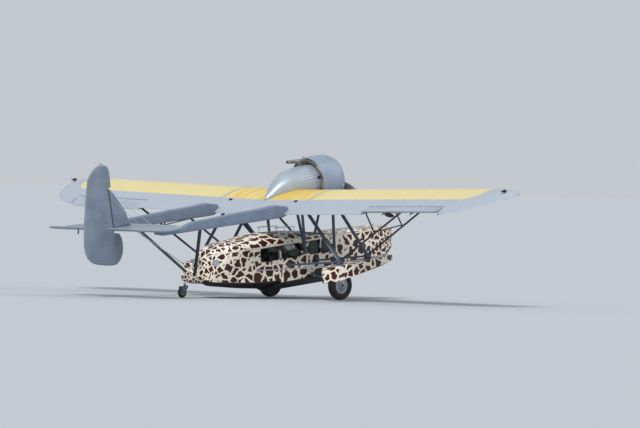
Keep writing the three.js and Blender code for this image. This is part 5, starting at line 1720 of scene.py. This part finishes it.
def cushion_shape(name, size):
    """A padded case of the given size round the origin, blown up by Blender's cloth simulation."""
    half = Vector(size) / 2
    low, high = -half + Vector((SWELL * 0.7,) * 3), half - Vector((SWELL * 0.7,) * 3)
    case = mesh_object(name, *block(low, high, 0.022), place=Matrix.Identity(4))
    remesh = case.modifiers.new("remesh", "REMESH")
    remesh.mode, remesh.voxel_size, remesh.use_smooth_shade = "VOXEL", VOXEL, True
    plain_mesh(case)
    start = [v.co.copy() for v in case.data.vertices]
    cloth = case.modifiers.new("cloth", "CLOTH")
    cloth.settings.quality = 5
    cloth.settings.mass = 0.3
    cloth.settings.use_pressure = True
    cloth.settings.uniform_pressure_force = 4.0
    cloth.settings.effector_weights.gravity = 0.0
    cloth.point_cache.frame_start, cloth.point_cache.frame_end = 1, SIM_FRAMES
    for frame_number in range(1, SIM_FRAMES + 1):
        bpy.context.scene.frame_set(frame_number)
    plain_mesh(case)
    bpy.context.scene.frame_set(1)
    points = []
    for vertex, before in zip(case.data.vertices, start):
        push = vertex.co - before
        if push.length > SWELL:
            push = push.normalized() * SWELL
        after = before + push
        points.append(Vector([max(-h + 0.0005, min(h - 0.0005, c)) for c, h in zip(after, half)]))
    faces = [tuple(face.vertices) for face in case.data.polygons]
    bpy.data.objects.remove(case)
    return points, faces


def channelled(points, faces, pitch, up_axis):
    """Presses sewn channels, pitch metres apart across the cabin, into the side facing up_axis."""
    pressed = []
    top = max(p[up_axis] for p in points)
    for point in points:
        distance = abs((point.y / pitch + 0.5) % 1.0 - 0.5) * pitch
        reach = max(0.0, 1 - (top - point[up_axis]) / 0.05)
        moved = point.copy()
        moved[up_axis] -= CHANNEL_DEPTH * reach * math.exp(-(distance / CHANNEL_WIDTH) ** 2)
        pressed.append(moved)
    return pressed, faces


SEAT_SIZE, SEAT_BACK_SIZE = (0.452, 0.456, 0.166), (0.100, 0.456, 0.452)
BENCH_SIZE, BENCH_BACK_SIZE = (0.476, 0.558, 0.150), (0.116, 0.558, 0.480)
CUSHION_TOP = FLOOR_Z + 0.330
SEAT_Y, BENCH_Y = 0.300, 0.280
shapes = {name: channelled(*cushion_shape(f"{name}_case", size), pitch, up_axis)
          for name, size, pitch, up_axis in (("seat", SEAT_SIZE, 0.092, 2),
                                             ("seat_back", SEAT_BACK_SIZE, 0.092, 0),
                                             ("bench", BENCH_SIZE, 0.112, 2),
                                             ("bench_back", BENCH_BACK_SIZE, 0.112, 0))}


def moved_part(part, offset):
    verts, faces = part
    return [Vector(v) + Vector(offset) for v in verts], faces


def upholstered(name, shape, centre, replaces=()):
    made = dress(name, moved_part(shapes[shape], centre), SEAT_LEATHER, "seat_leather", stands_for=replaces,
                 smooth_angle=70, weld=1e-6, turn_out=False)
    return made


for word, side in SIDES:
    upholstered(f"seat_cushion_{word}", "seat",
                (0.394, side * SEAT_Y, CUSHION_TOP - SEAT_SIZE[2] / 2 - 0.002),
                ["front_seats"] if side == -1 else ())
    upholstered(f"seat_back_cushion_{word}", "seat_back", (0.115, side * SEAT_Y, FLOOR_Z + 0.412))
    upholstered(f"bench_cushion_{word}", "bench",
                (-0.718, side * BENCH_Y, CUSHION_TOP - BENCH_SIZE[2] / 2 - 0.001),
                ["rear_bench"] if side == -1 else ())
    upholstered(f"bench_back_cushion_{word}", "bench_back", (-1.000, side * BENCH_Y, FLOOR_Z + 0.419))

seat_frames = [block((0.122, -0.558, FLOOR_Z + 0.005), (0.558, 0.558, FLOOR_Z + 0.164), 0.008),
               block((-0.956, -0.556, FLOOR_Z + 0.005), (-0.484, 0.556, FLOOR_Z + 0.178), 0.008),
               block((-1.058, -0.556, FLOOR_Z + 0.005), (-0.962, 0.556, FLOOR_Z + 0.176), 0.008)]
for side in (-1, 1):
    seat_frames.append(block((0.062, side * SEAT_Y - 0.226, FLOOR_Z + 0.150),
                             (0.068, side * SEAT_Y + 0.226, FLOOR_Z + 0.636), 0.002))
    for y in (side * SEAT_Y - 0.226 * 0.9, side * SEAT_Y + 0.226 * 0.9):
        seat_frames.append(swept([(0.068, y, FLOOR_Z + 0.010), (0.068, y, FLOOR_Z + 0.630)],
                                 round_section(0.010, 10)))
dress("seat_frames", merged(*seat_frames), LINING, "seat_leather", smooth_angle=40, turn_out=False)
print("cushion points:", {name: len(part[0]) for name, part in shapes.items()})

# %% Instrument panel, column and wheels
PANEL_X, YOKE_X, YOKE_Z, YOKE_RADIUS = 1.560, 1.150, -0.960, 0.150
board_outline = [(-0.600, -1.130), (0.600, -1.130), (0.600, -0.880), (0.420, -0.830),
                 (-0.420, -0.830), (-0.600, -0.880)]
board_verts, board_faces = pillow(smooth_loop(board_outline, straight={0, 1, 2, 3, 4, 5}), 0.020, 0.006, 3)
board = [(PANEL_X + 0.012 + v[2], v[0], v[1]) for v in board_verts], board_faces
panel_parts = merged(
    board,
    block((PANEL_X - 0.018, -0.058, FLOOR_Z + 0.005), (PANEL_X + 0.038, 0.058, -1.110), 0.006),
    block((1.272, -0.038, FLOOR_Z + 0.005), (PANEL_X + 0.038, 0.038, FLOOR_Z + 0.058), 0.006),
    swept([(1.300, 0.0, FLOOR_Z + 0.030), (YOKE_X + 0.030, 0.0, YOKE_Z)], round_section(0.028, 16)),
    block((YOKE_X + 0.016, -0.328, YOKE_Z - 0.024), (YOKE_X + 0.044, 0.328, YOKE_Z + 0.014), 0.008),
)
dress("panel_and_column", panel_parts, PANEL_PAINT, "panel_black", stands_for=["instrument_panel"],
      smooth_angle=35, turn_out=False)
for word, side in SIDES:
    middle = Vector((YOKE_X, side * SEAT_Y, YOKE_Z))
    rim = [middle + Vector((0.0, (YOKE_RADIUS - 0.012) * math.sin(a), (YOKE_RADIUS - 0.012) * math.cos(a)))
           for a in full_turn(40)]
    spokes = [swept([middle, middle + Vector((0.0, (YOKE_RADIUS - 0.014) * math.sin(a),
                                              (YOKE_RADIUS - 0.014) * math.cos(a)))],
                    round_section(0.008, 8)) for a in (math.radians(d) for d in (60, 180, 300))]
    wheel = merged(swept(rim, round_section(0.011, 10), closed=True), *spokes,
                   turned([(-0.014, 0.024), (0.016, 0.028)], middle, (1, 0, 0), 20))
    dress(f"control_wheel_{word}", wheel, PANEL_PAINT, "panel_black", smooth_angle=45, turn_out=False)

DIAL_COLUMNS, DIAL_PITCH, DIAL_RADIUS = 6, 0.160, 0.050
for row, z in (("upper", -0.925), ("lower", -1.050)):
    first = Vector((PANEL_X + 0.002, -DIAL_PITCH * (DIAL_COLUMNS - 1) / 2, z))
    arrays = [(DIAL_COLUMNS, (0.0, DIAL_PITCH, 0.0), 0.0)]
    bezel = turned([(0.0, DIAL_RADIUS), (-0.006, DIAL_RADIUS), (-0.008, DIAL_RADIUS - 0.004),
                    (-0.006, DIAL_RADIUS - 0.008), (-0.002, DIAL_RADIUS - 0.009)], first, (1, 0, 0), 28)
    finish_piece(repeated(f"dial_bezels_{row}", bezel, arrays, BARE_METAL))
    face_plate = turned([(-0.001, DIAL_RADIUS - 0.010), (-0.003, DIAL_RADIUS - 0.010)],
                        first + Vector((-0.001, 0, 0)), (1, 0, 0), 28)
    finish_piece(repeated(f"dial_faces_{row}", face_plate, arrays, DIAL_FACE))
    needle = swept([first + Vector((-0.006, -0.008, -0.010)), first + Vector((-0.006, 0.022, 0.026))],
                   round_section(0.0018, 6))
    finish_piece(repeated(f"dial_needles_{row}", needle, arrays, NEEDLE_WHITE))
print("cabin pieces ready")

# %% [markdown]
# ## Trim on the hull
# Half-round rails protect the edges where deck and sides meet and where the sides meet the bottom. They
# follow the same frames as the skin. The upper ones are plain cream with no patches on them, which draws a
# light line along the whole hull. Each window has a rubber gasket round it.

# %% Rails, gaskets and hull fittings
CREAM_PAINT = plain_paint("plain_cream_enamel", "#f1e9d4", "#e6dcc2", 0.050, 0.32)
GASKET = plain_paint("black_rubber_gasket", "#191a1c", "#222325", 0.004, 0.65)
STEEL = plain_paint("stainless_steel_wire_and_tube", "#c9ced4", "#b4bac1", 0.015, 0.28, metallic=0.85)


def half_round(width, proud):
    """Section of a rail: side is across the skin, up is along it."""
    return [(proud * math.sin(a) - 0.003, width / 2 * math.cos(a))
            for a in (math.pi * i / 8 for i in range(9))]


def frame_line(rows, half_column, z_column, side):
    return [(row[0], side * row[half_column], row[z_column]) for row in rows]


rail_section = half_round(0.036, 0.014)
rail_stern, rail_bow = between_columns(STERN_FRAMES, 4)[::-1][2:-1], between_columns(BOW_FRAMES, 4)[1:-2]
for word, side in SIDES:
    gunwale = (frame_line(rail_stern, 2, 5, side)
               + [(x, side * HULL_HALF, GUNWALE_Z) for x in (CABIN_REAR, 0.3, CABIN_FRONT)]
               + frame_line(rail_bow, 2, 5, side))
    dress(f"gunwale_rail_{word}", swept(gunwale, [(side * s, u) for s, u in rail_section]), CREAM_PAINT,
          "hull_paint", smooth_angle=50)
    chine = (frame_line(rail_stern, 1, 4, side)
             + [(x, side * HULL_HALF, along(BOTTOM_FRAMES, x, 2))
                for x in (CABIN_REAR, -0.305, -0.290, CABIN_FRONT)]
             + frame_line(rail_bow, 1, 4, side))
    dress(f"chine_rail_{word}", swept(chine, [(-side * s * 0.8, u * 0.7) for s, u in rail_section]),
          BOTTOM_PAINT, "hull_paint", smooth_angle=50)

    gaskets = []
    for loop in window_loops:
        points = [(x, side * (HULL_HALF + 0.001), z) for x, z in loop]
        gaskets.append(swept(points, round_section(0.008, 8), closed=True))
    dress(f"window_gaskets_{word}", merged(*gaskets), GASKET, "panel_black", smooth_angle=50)

screen_gaskets = []
for x0, x1, y0, y1 in PANES:
    for side in (-1, 1):
        marks = [(x, side * y0) for x in spread([x0, x1], 0.05)]
        marks += [(x1, side * y) for y in spread([y0, y1], 0.06)][1:]
        marks += [(x, side * y1) for x in reversed(spread([x0, x1], 0.05))][1:]
        marks += [(x0, side * y) for y in reversed(spread([y0, y1], 0.06))][1:-1]
        screen_gaskets.append(swept([shell_point(x, y) for x, y in marks], round_section(0.006, 6),
                                    closed=True))
dress("windshield_gaskets", merged(*screen_gaskets), GASKET, "panel_black", smooth_angle=50)
print("rails and gaskets done")

# %% Hatch, roof rails, porthole, cleats and braces
# The coaming stands on three sides of the hatch, and the lid hinges on the fourth
coaming = []
for y in (-HATCH_HALF - 0.016, HATCH_HALF + 0.016):
    line = [shell_point(x, y) + Vector((0, 0, 0.003))
            for x in spread([HATCH_REAR - 0.02, HATCH_FRONT + 0.016], 0.1)]
    coaming.append(swept(line, round_section(0.009, 8)))
front_line = [shell_point(HATCH_FRONT + 0.016, y) + Vector((0, 0, 0.003))
              for y in spread([-HATCH_HALF - 0.016, HATCH_HALF + 0.016], 0.06)]
coaming.append(swept(front_line, round_section(0.009, 8)))
dress("hatch_coaming", merged(*coaming), CREAM_PAINT, "hull_paint", smooth_angle=50)
handle_z = crown_at(HATCH_FRONT - 0.060)
handle = swept([(HATCH_FRONT - 0.060, -0.060, handle_z - 0.002),
                (HATCH_FRONT - 0.060, -0.055, handle_z + 0.028),
                (HATCH_FRONT - 0.060, 0.055, handle_z + 0.028),
                (HATCH_FRONT - 0.060, 0.060, handle_z - 0.002)], round_section(0.006, 8))
dress("hatch_handle", handle, STEEL, "wheel_metal", body="hatch_lid", smooth_angle=50)

roof_rails = []
for y in (-0.300, 0.300):
    posts = (0.000, 0.300, 0.600)
    top = [shell_point(x, y) + Vector((0, 0, 0.135)) for x in posts]
    roof_rails.append(swept([top[0] + Vector((-0.03, 0, -0.012)), *top,
                             top[-1] + Vector((0.03, 0, -0.012))], round_section(0.010, 10)))
    for x, upper in zip(posts, top):
        foot = shell_point(x, y)
        roof_rails += [swept([foot - Vector((0, 0, 0.002)), upper], round_section(0.007, 8)),
                       turned([(-0.004, 0.024), (0.006, 0.022)], foot, (0, 0, 1), 16)]
dress("roof_rails", merged(*roof_rails), STEEL, "wheel_metal", smooth_angle=50)


def hull_surface(x, z, side):
    """The point of the stern's or bow's flat side at x and z, and its outward direction."""
    rows = between_columns(STERN_FRAMES if x < 0 else BOW_FRAMES, 6)

    def half_at(x):
        share = (z - along(rows, x, 4)) / (along(rows, x, 5) - along(rows, x, 4))
        return lerp(along(rows, x, 1), along(rows, x, 2), share)

    slope = (half_at(x + 0.02) - half_at(x - 0.02)) / 0.04
    return Vector((x, side * half_at(x), z)), Vector((-slope, side, 0.0)).normalized()


for word, side in SIDES:
    spot, out = hull_surface(-2.040, -1.000, side)
    porthole = merged(turned([(-0.010, 0.086), (0.012, 0.086), (0.016, 0.080), (0.014, 0.066),
                              (0.009, 0.062)], spot, out, 36))
    dress(f"stern_cover_{word}", porthole, STEEL, "wheel_metal", smooth_angle=35)
    screw = turned([(0.012, 0.005), (0.018, 0.004)], (0, 0, 0.073), (1, 0, 0), 8)
    turn_to = LEVEL @ Matrix.Translation(spot) @ out.to_track_quat("X", "Z").to_matrix().to_4x4()
    finish_piece(repeated(f"stern_cover_screws_{word}", screw, [(8, (0.0, 0.0, 0.0), 45.0)], STEEL,
                          turn_to))

    brace_start, brace_end = Vector((-1.020, side * 0.690, -1.300)), Vector((-0.400, side * 2.420, -1.240))
    brace = merged(
        swept([brace_start, brace_end], round_section(0.015, 12)),
        foot_plate(side, -1.070, -0.970, -1.335, -1.265, 0.012),
        block((-0.445, side * 2.440 - 0.045, -1.272), (-0.355, side * 2.440 + 0.045, -1.248), 0.002),
        block((-0.416, side * 2.420 - 0.016, -1.252), (-0.384, side * 2.420 + 0.016, -1.217), 0.003),
    )
    dress(f"float_brace_{word}", brace, STEEL, "wheel_metal", smooth_angle=40)


def cleat(x, y, z, along_x=True, size=0.11):
    """A deck cleat with two horns on two short posts."""
    way = Vector((1, 0, 0)) if along_x else Vector((0, 1, 0))
    middle = Vector((x, y, z + 0.036))
    horns = [middle - way * size, middle - way * size * 0.5 + Vector((0, 0, -0.006)),
             middle + way * size * 0.5 + Vector((0, 0, -0.006)), middle + way * size]
    posts = [swept([middle + way * s * 0.035 - Vector((0, 0, 0.040)), middle + way * s * 0.03],
                   round_section(0.009, 10)) for s in (-1, 1)]
    low, high = Vector((x, y, z - 0.002)) - way * 0.06, Vector((x, y, z + 0.005)) + way * 0.06
    side_way = Vector((0.026, 0.026, 0)) - way * 0.026
    return merged(swept(horns, round_section(0.009, 10)), *posts,
                  block(low - side_way, high + side_way, 0.002))


deck_fittings = [cleat(2.350, 0.0, along(BOW_FRAMES, 2.350, 6)),
                 cleat(3.500, 0.0, along(BOW_FRAMES, 3.500, 6), False, 0.09),
                 cleat(-1.900, 0.0, along(STERN_FRAMES, -1.900, 6), False, 0.09)]
eye = [(3.922 + 0.028 * math.sin(a), 0.0, -1.000 + 0.028 * math.cos(a)) for a in full_turn(20)]
deck_fittings.append(swept(eye, round_section(0.007, 8), closed=True))
for side in (-1, 1):
    deck_fittings.append(cleat(1.500, side * FLOAT_Y, along(FLOAT_FRAMES, 1.500, 2)))
    deck_fittings.append(cleat(-0.230, side * FLOAT_Y, along(FLOAT_FRAMES, -0.230, 2)))
dress("cleats_and_eye", merged(*deck_fittings), STEEL, "wheel_metal", smooth_angle=45)

covers = []
for side in (-1, 1):
    for x in (0.300, 0.640, 1.300):
        deck = along(FLOAT_FRAMES, x, 2)
        covers.append(turned([(-0.004, 0.088), (0.006, 0.088), (0.009, 0.084), (0.010, 0.060),
                              (0.010, 0.010)], (x, side * FLOAT_Y, deck), (0, 0, 1), 32))
dress("float_hatch_covers", merged(*covers), CREAM_PAINT, "hull_paint", smooth_angle=35)
print("fittings done")

# %% [markdown]
# ## Trim on the wing and the tail
# Small things that break the silver: fuel filler caps, aileron brackets and a balance weight, cover strips
# over the joints of the wing, a pitot mast, position lights, the rudder's post, black as painted shade in
# the hinge gap, and wires from the fin to the tailplane.

# %% Lamps, caps, brackets and wires
def lamp_lens(name, tint):
    material, tree, shader = new_material(name)
    place = level_coordinates(tree)
    ribs = add(tree, "ShaderNodeTexWave", {"Vector": place, "Scale": 60.0})
    bump = add(tree, "ShaderNodeBump", {"Height": ribs.outputs[1], "Strength": 0.2, "Distance": 0.001})
    tree.links.new(bump.outputs[0], shader.inputs["Normal"])
    set_shader(shader, Base_Color=srgb(tint), Roughness=0.12, IOR=1.5, Coat_Weight=0.5)
    return material


RED_LENS, GREEN_LENS, WHITE_LENS = (lamp_lens("red_lamp_glass", "#9c1f1c"),
                                    lamp_lens("green_lamp_glass", "#1c6a43"),
                                    lamp_lens("white_lamp_glass", "#f2f1ec"))


def lamp_body(centre, radius, length):
    """A small streamlined lamp housing with its long tail aft, and its lens in front."""
    cx, cy, cz = centre
    housing = turned([(-length, radius * 0.12), (-length * 0.6, radius * 0.62),
                      (-length * 0.2, radius * 0.96), (0.0, radius)], centre, (1, 0, 0), 20)
    lens = turned([(0.0, radius * 0.97), (radius * 0.5, radius * 0.86), (radius * 0.85, radius * 0.5),
                   (radius * 0.98, radius * 0.1)], (cx + 0.0005, cy, cz), (1, 0, 0), 20)
    return housing, lens


def surface_z(x, y, upper):
    """Height of the wing's skin at x and y."""
    return wing_point(y, share_at(y, x), upper).z


LAMP_X, LAMP_RADIUS = 0.600, 0.034
for name, y, lens_glass in (("right_tip", -7.690, GREEN_LENS), ("left_tip", 7.690, RED_LENS)):
    pieces, posts = [], []
    for upper, up in ((True, 1), (False, -1)):
        z = wing_point(y, chord_share(y, LAMP_X), upper).z
        pieces.append(lamp_body((LAMP_X, y, z + up * LAMP_RADIUS), LAMP_RADIUS, 0.150))
        posts.append(swept([(LAMP_X - 0.03, y, z + up * 0.01), (LAMP_X - 0.03, y, z - up * 0.02)],
                           round_section(0.014, 10)))
    dress(f"lamp_housing_{name}", merged(*[h for h, _ in pieces], *posts), DARK_METAL, "wheel_metal",
          smooth_angle=50)
    dress(f"lamp_lens_{name}", merged(*[l for _, l in pieces]), lens_glass, "window_glass", smooth_angle=50)

stern_lamp = turned([(-0.010, 0.030), (0.012, 0.030), (0.030, 0.024), (0.040, 0.008)],
                    (-2.550, 0.0, -1.132), (0, 0, 1), 20)
dress("stern_lamp", stern_lamp, WHITE_LENS, "window_glass", smooth_angle=50)
mast = swept([(-5.175, 0.0, 1.670), (-5.175, 0.0, 1.727)], round_section(0.010, 10))
top_housing, top_lens = lamp_body((-5.150, 0.0, 1.737), 0.024, 0.110)
dress("rudder_lamp_housing", merged(mast, top_housing), STEEL, "wheel_metal", body="rudder_body",
      smooth_angle=50)
dress("rudder_lamp_lens", top_lens, WHITE_LENS, "window_glass", body="rudder_body", smooth_angle=50)

caps = []
for side in (-1, 1):
    x, y = -0.058, side * 1.170
    z = surface_z(x, y, True)
    caps.append(turned([(-0.010, 0.052), (0.006, 0.052), (0.010, 0.046), (0.022, 0.034), (0.026, 0.030),
                        (0.027, 0.006)], (x, y, z), (0.087, 0, 1), 24))
dress("fuel_filler_caps", merged(*caps), DARK_METAL, "wheel_metal", smooth_angle=35)

strips = []
for y in (-CENTRE_HALF, CENTRE_HALF):
    loop = wing_ring(y, False)
    middle = sum(loop, Vector()) / len(loop)
    for shift, out in ((-0.030, 0.0005), (-0.028, 0.0025), (0.028, 0.0025), (0.030, 0.0005)):
        strips.append([p + Vector((0, shift, 0)) + (p - middle).normalized() * out for p in loop])
halves = [ring_skin(strips[i:i + 4], caps=False) for i in (0, 4)]
dress("wing_joint_strips", merged(*halves), WING_UNDER, "wing_fabric", smooth_angle=50)

for word, side in SIDES:
    brackets = []
    for y in (4.400, 5.350, 6.300):
        hinge = hinge_point(side * y)
        low = surface_z(HINGE_X + 0.14, side * y, False)
        outline = [(HINGE_X - 0.020, hinge.z - 0.125), (HINGE_X + 0.020, hinge.z - 0.125),
                   (HINGE_X + 0.200, low - 0.004), (HINGE_X + 0.200, low + 0.020),
                   (HINGE_X + 0.095, low + 0.020)]
        plate = pillow(smooth_loop(outline, straight={0, 1, 2, 3, 4}), 0.014, 0.004, 3)
        brackets.append(upright_parts(plate, side * y))
    dress(f"aileron_brackets_{word}", merged(*brackets), DARK_METAL, "wheel_metal", smooth_angle=35)
    weight_y = side * 4.860
    low = wing_point(weight_y, 0.93, False).z
    weight = turned([(-0.160, 0.006), (-0.120, 0.034), (-0.040, 0.050), (0.050, 0.050), (0.120, 0.034),
                     (0.160, 0.006)], (-0.470, weight_y, low - 0.070), (1, 0, 0), 20)
    arms = [swept([(x, weight_y, low - 0.070), (x - 0.02, weight_y, low + 0.030)], round_section(0.010, 8))
            for x in (-0.530, -0.430)]
    dress(f"aileron_weight_{word}", merged(weight, *arms), DARK_METAL, "wheel_metal",
          body=f"aileron_{word}_body", place=AILERON_PLACE[word], smooth_angle=45)

pitot_y = 5.650
nose = wing_point(pitot_y, 0.0, True)
pitot = merged(swept([(nose.x - 0.060, pitot_y, nose.z - 0.010), (nose.x - 0.060, pitot_y, nose.z - 0.170),
                      (nose.x + 0.160, pitot_y, nose.z - 0.180)], round_section(0.009, 10)),
               swept([(nose.x - 0.050, pitot_y, nose.z - 0.140), (nose.x + 0.110, pitot_y, nose.z - 0.150)],
                     round_section(0.006, 8)))
dress("pitot_mast", pitot, STEEL, "wheel_metal", smooth_angle=45)

# The post is black: painted shade in the hinge gap between fin and rudder
rudder_post_as_hinge_shade = swept([(post_x(0.070), 0.0, 0.070), (post_x(1.130), 0.0, 1.130)], round_section(0.019, 16))
dress("rudder_post_black_as_hinge_shade", rudder_post_as_hinge_shade, GASKET, "silver_fabric", body="rudder_body", smooth_angle=50)

wires = []
for side in (-1, 1):
    for fin_x, fin_z, tail_x, tail_y in ((-4.700, 0.800, -4.500, 0.980), (-4.860, 0.820, -4.860, 0.980)):
        wires.append(swept([(fin_x, side * 0.026, fin_z), (tail_x, side * tail_y, TAIL_HIGH - 0.002)],
                           round_section(0.006, 8)))
wires.append(swept([(-4.330, 0.0, TAIL_LOW + 0.004), (-2.500, 0.0, -1.142)], round_section(0.010, 10)))
wires.append(turned([(-0.008, 0.030), (0.004, 0.030)], (-4.330, 0.0, TAIL_LOW), (0, 0, 1), 16))
dress("tail_wires", merged(*wires), STEEL, "wheel_metal", smooth_angle=50)
print("lamps and wires done")

# %% [markdown]
# ## Seams and rivets
# Sheet metal shows how it was put together: rows of rivets along the booms' edges, bands where the
# nacelle's sheets meet, long louvres beside the engine, and turn-lock studs round the cowl.

# %% Seams, louvres and rivets
BAND_XS = (1.330, 1.000, 0.660)
bands = []
for x in BAND_XS:
    rows = [[x + step, along(NACELLE_FRAMES, x + step, 1) + proud, along(NACELLE_FRAMES, x, 2)]
            for step, proud in ((-0.012, 0.0005), (-0.010, 0.0035), (0.010, 0.0035), (0.012, 0.0005))]
    bands.append(ring_skin([nacelle_ring(row) for row in rows], caps=False))
dress("nacelle_bands", merged(*bands), NACELLE_PAINT, "silver_metal", smooth_angle=40)


def nacelle_point(x, angle, lift=0.0):
    """A point on the nacelle, angle degrees from its top towards port."""
    radius, middle = along(NACELLE_FRAMES, x, 1) + lift, along(NACELLE_FRAMES, x, 2)
    return round_line(x, radius, math.radians(angle), middle)


LOUVRE_REAR, LOUVRE_FRONT = 1.016, 1.318
louvres = []
for side in (-1, 1):
    for angle in (46, 55, 64, 73):
        marks = [LOUVRE_REAR + 0.010, LOUVRE_REAR + 0.040, 1.150, LOUVRE_FRONT - 0.040,
                 LOUVRE_FRONT - 0.010]
        line = [nacelle_point(LOUVRE_REAR, side * angle, -0.004)]
        line += [nacelle_point(x, side * angle, 0.004) for x in marks]
        line.append(nacelle_point(LOUVRE_FRONT, side * angle, -0.004))
        louvres.append(swept(line, round_section(0.009, 8)))
dress("nacelle_louvres", merged(*louvres), NACELLE_PAINT, "silver_metal", smooth_angle=50)
outlets = []
for side in (-1, 1):
    middle = nacelle_point(1.440, side * 73, -0.004)
    out = (middle - Vector((1.440, 0.0, SHAFT_Z))).normalized()
    outlets.append(turned([(0.0, 0.040), (0.012, 0.040), (0.016, 0.034), (0.008, 0.030)], middle, out, 24))
dress("nacelle_outlets", merged(*outlets), DARK_METAL, "engine_metal", smooth_angle=40)

ring_paths = [[nacelle_point(x, a, 0.003) for a in range(-100, 101, 5)] for x in BAND_XS]
finish_piece(studded("nacelle_rivets", ring_paths, 0.050, 0.005, NACELLE_PAINT))
cowl_paths = []
for x, radius in ((1.520, 0.6085), (2.080, 0.5965)):
    cowl_paths.append([round_line(x, radius, 2 * math.pi * i / 60) for i in range(61)])
finish_piece(studded("cowl_studs", cowl_paths, 0.110, 0.008, STEEL))
seams = []
for angle in (0.0, 120.0, 240.0):
    line = [round_line(x, radius - 0.0005, math.radians(angle)) for x, radius, _ in cowl_rows[1:-1]]
    seams.append(swept(line, [(-0.015, -0.002), (0.015, -0.002), (0.014, 0.002), (-0.014, 0.002)]))
dress("cowl_seams", merged(*seams), COWL_PAINT, "silver_metal", smooth_angle=30)

boom_paths = []
for side in (-1, 1):
    for face_side in (-1, 1):
        for z_rows, inset in ((BOOM_TOP, -0.045), (BOOM_LOW, 0.045)):
            boom_paths.append([Vector((x, side * BOOM_Y + face_side * (along(BOOM_HALF, x, 1) + 0.0005),
                                       along(z_rows, x, 1) + inset))
                               for x in spread([-4.450, -3.950, -2.0, -0.900], 0.3)])
finish_piece(studded("boom_rivets", boom_paths, 0.060, 0.004, SHADED_BOOM_PAINT))
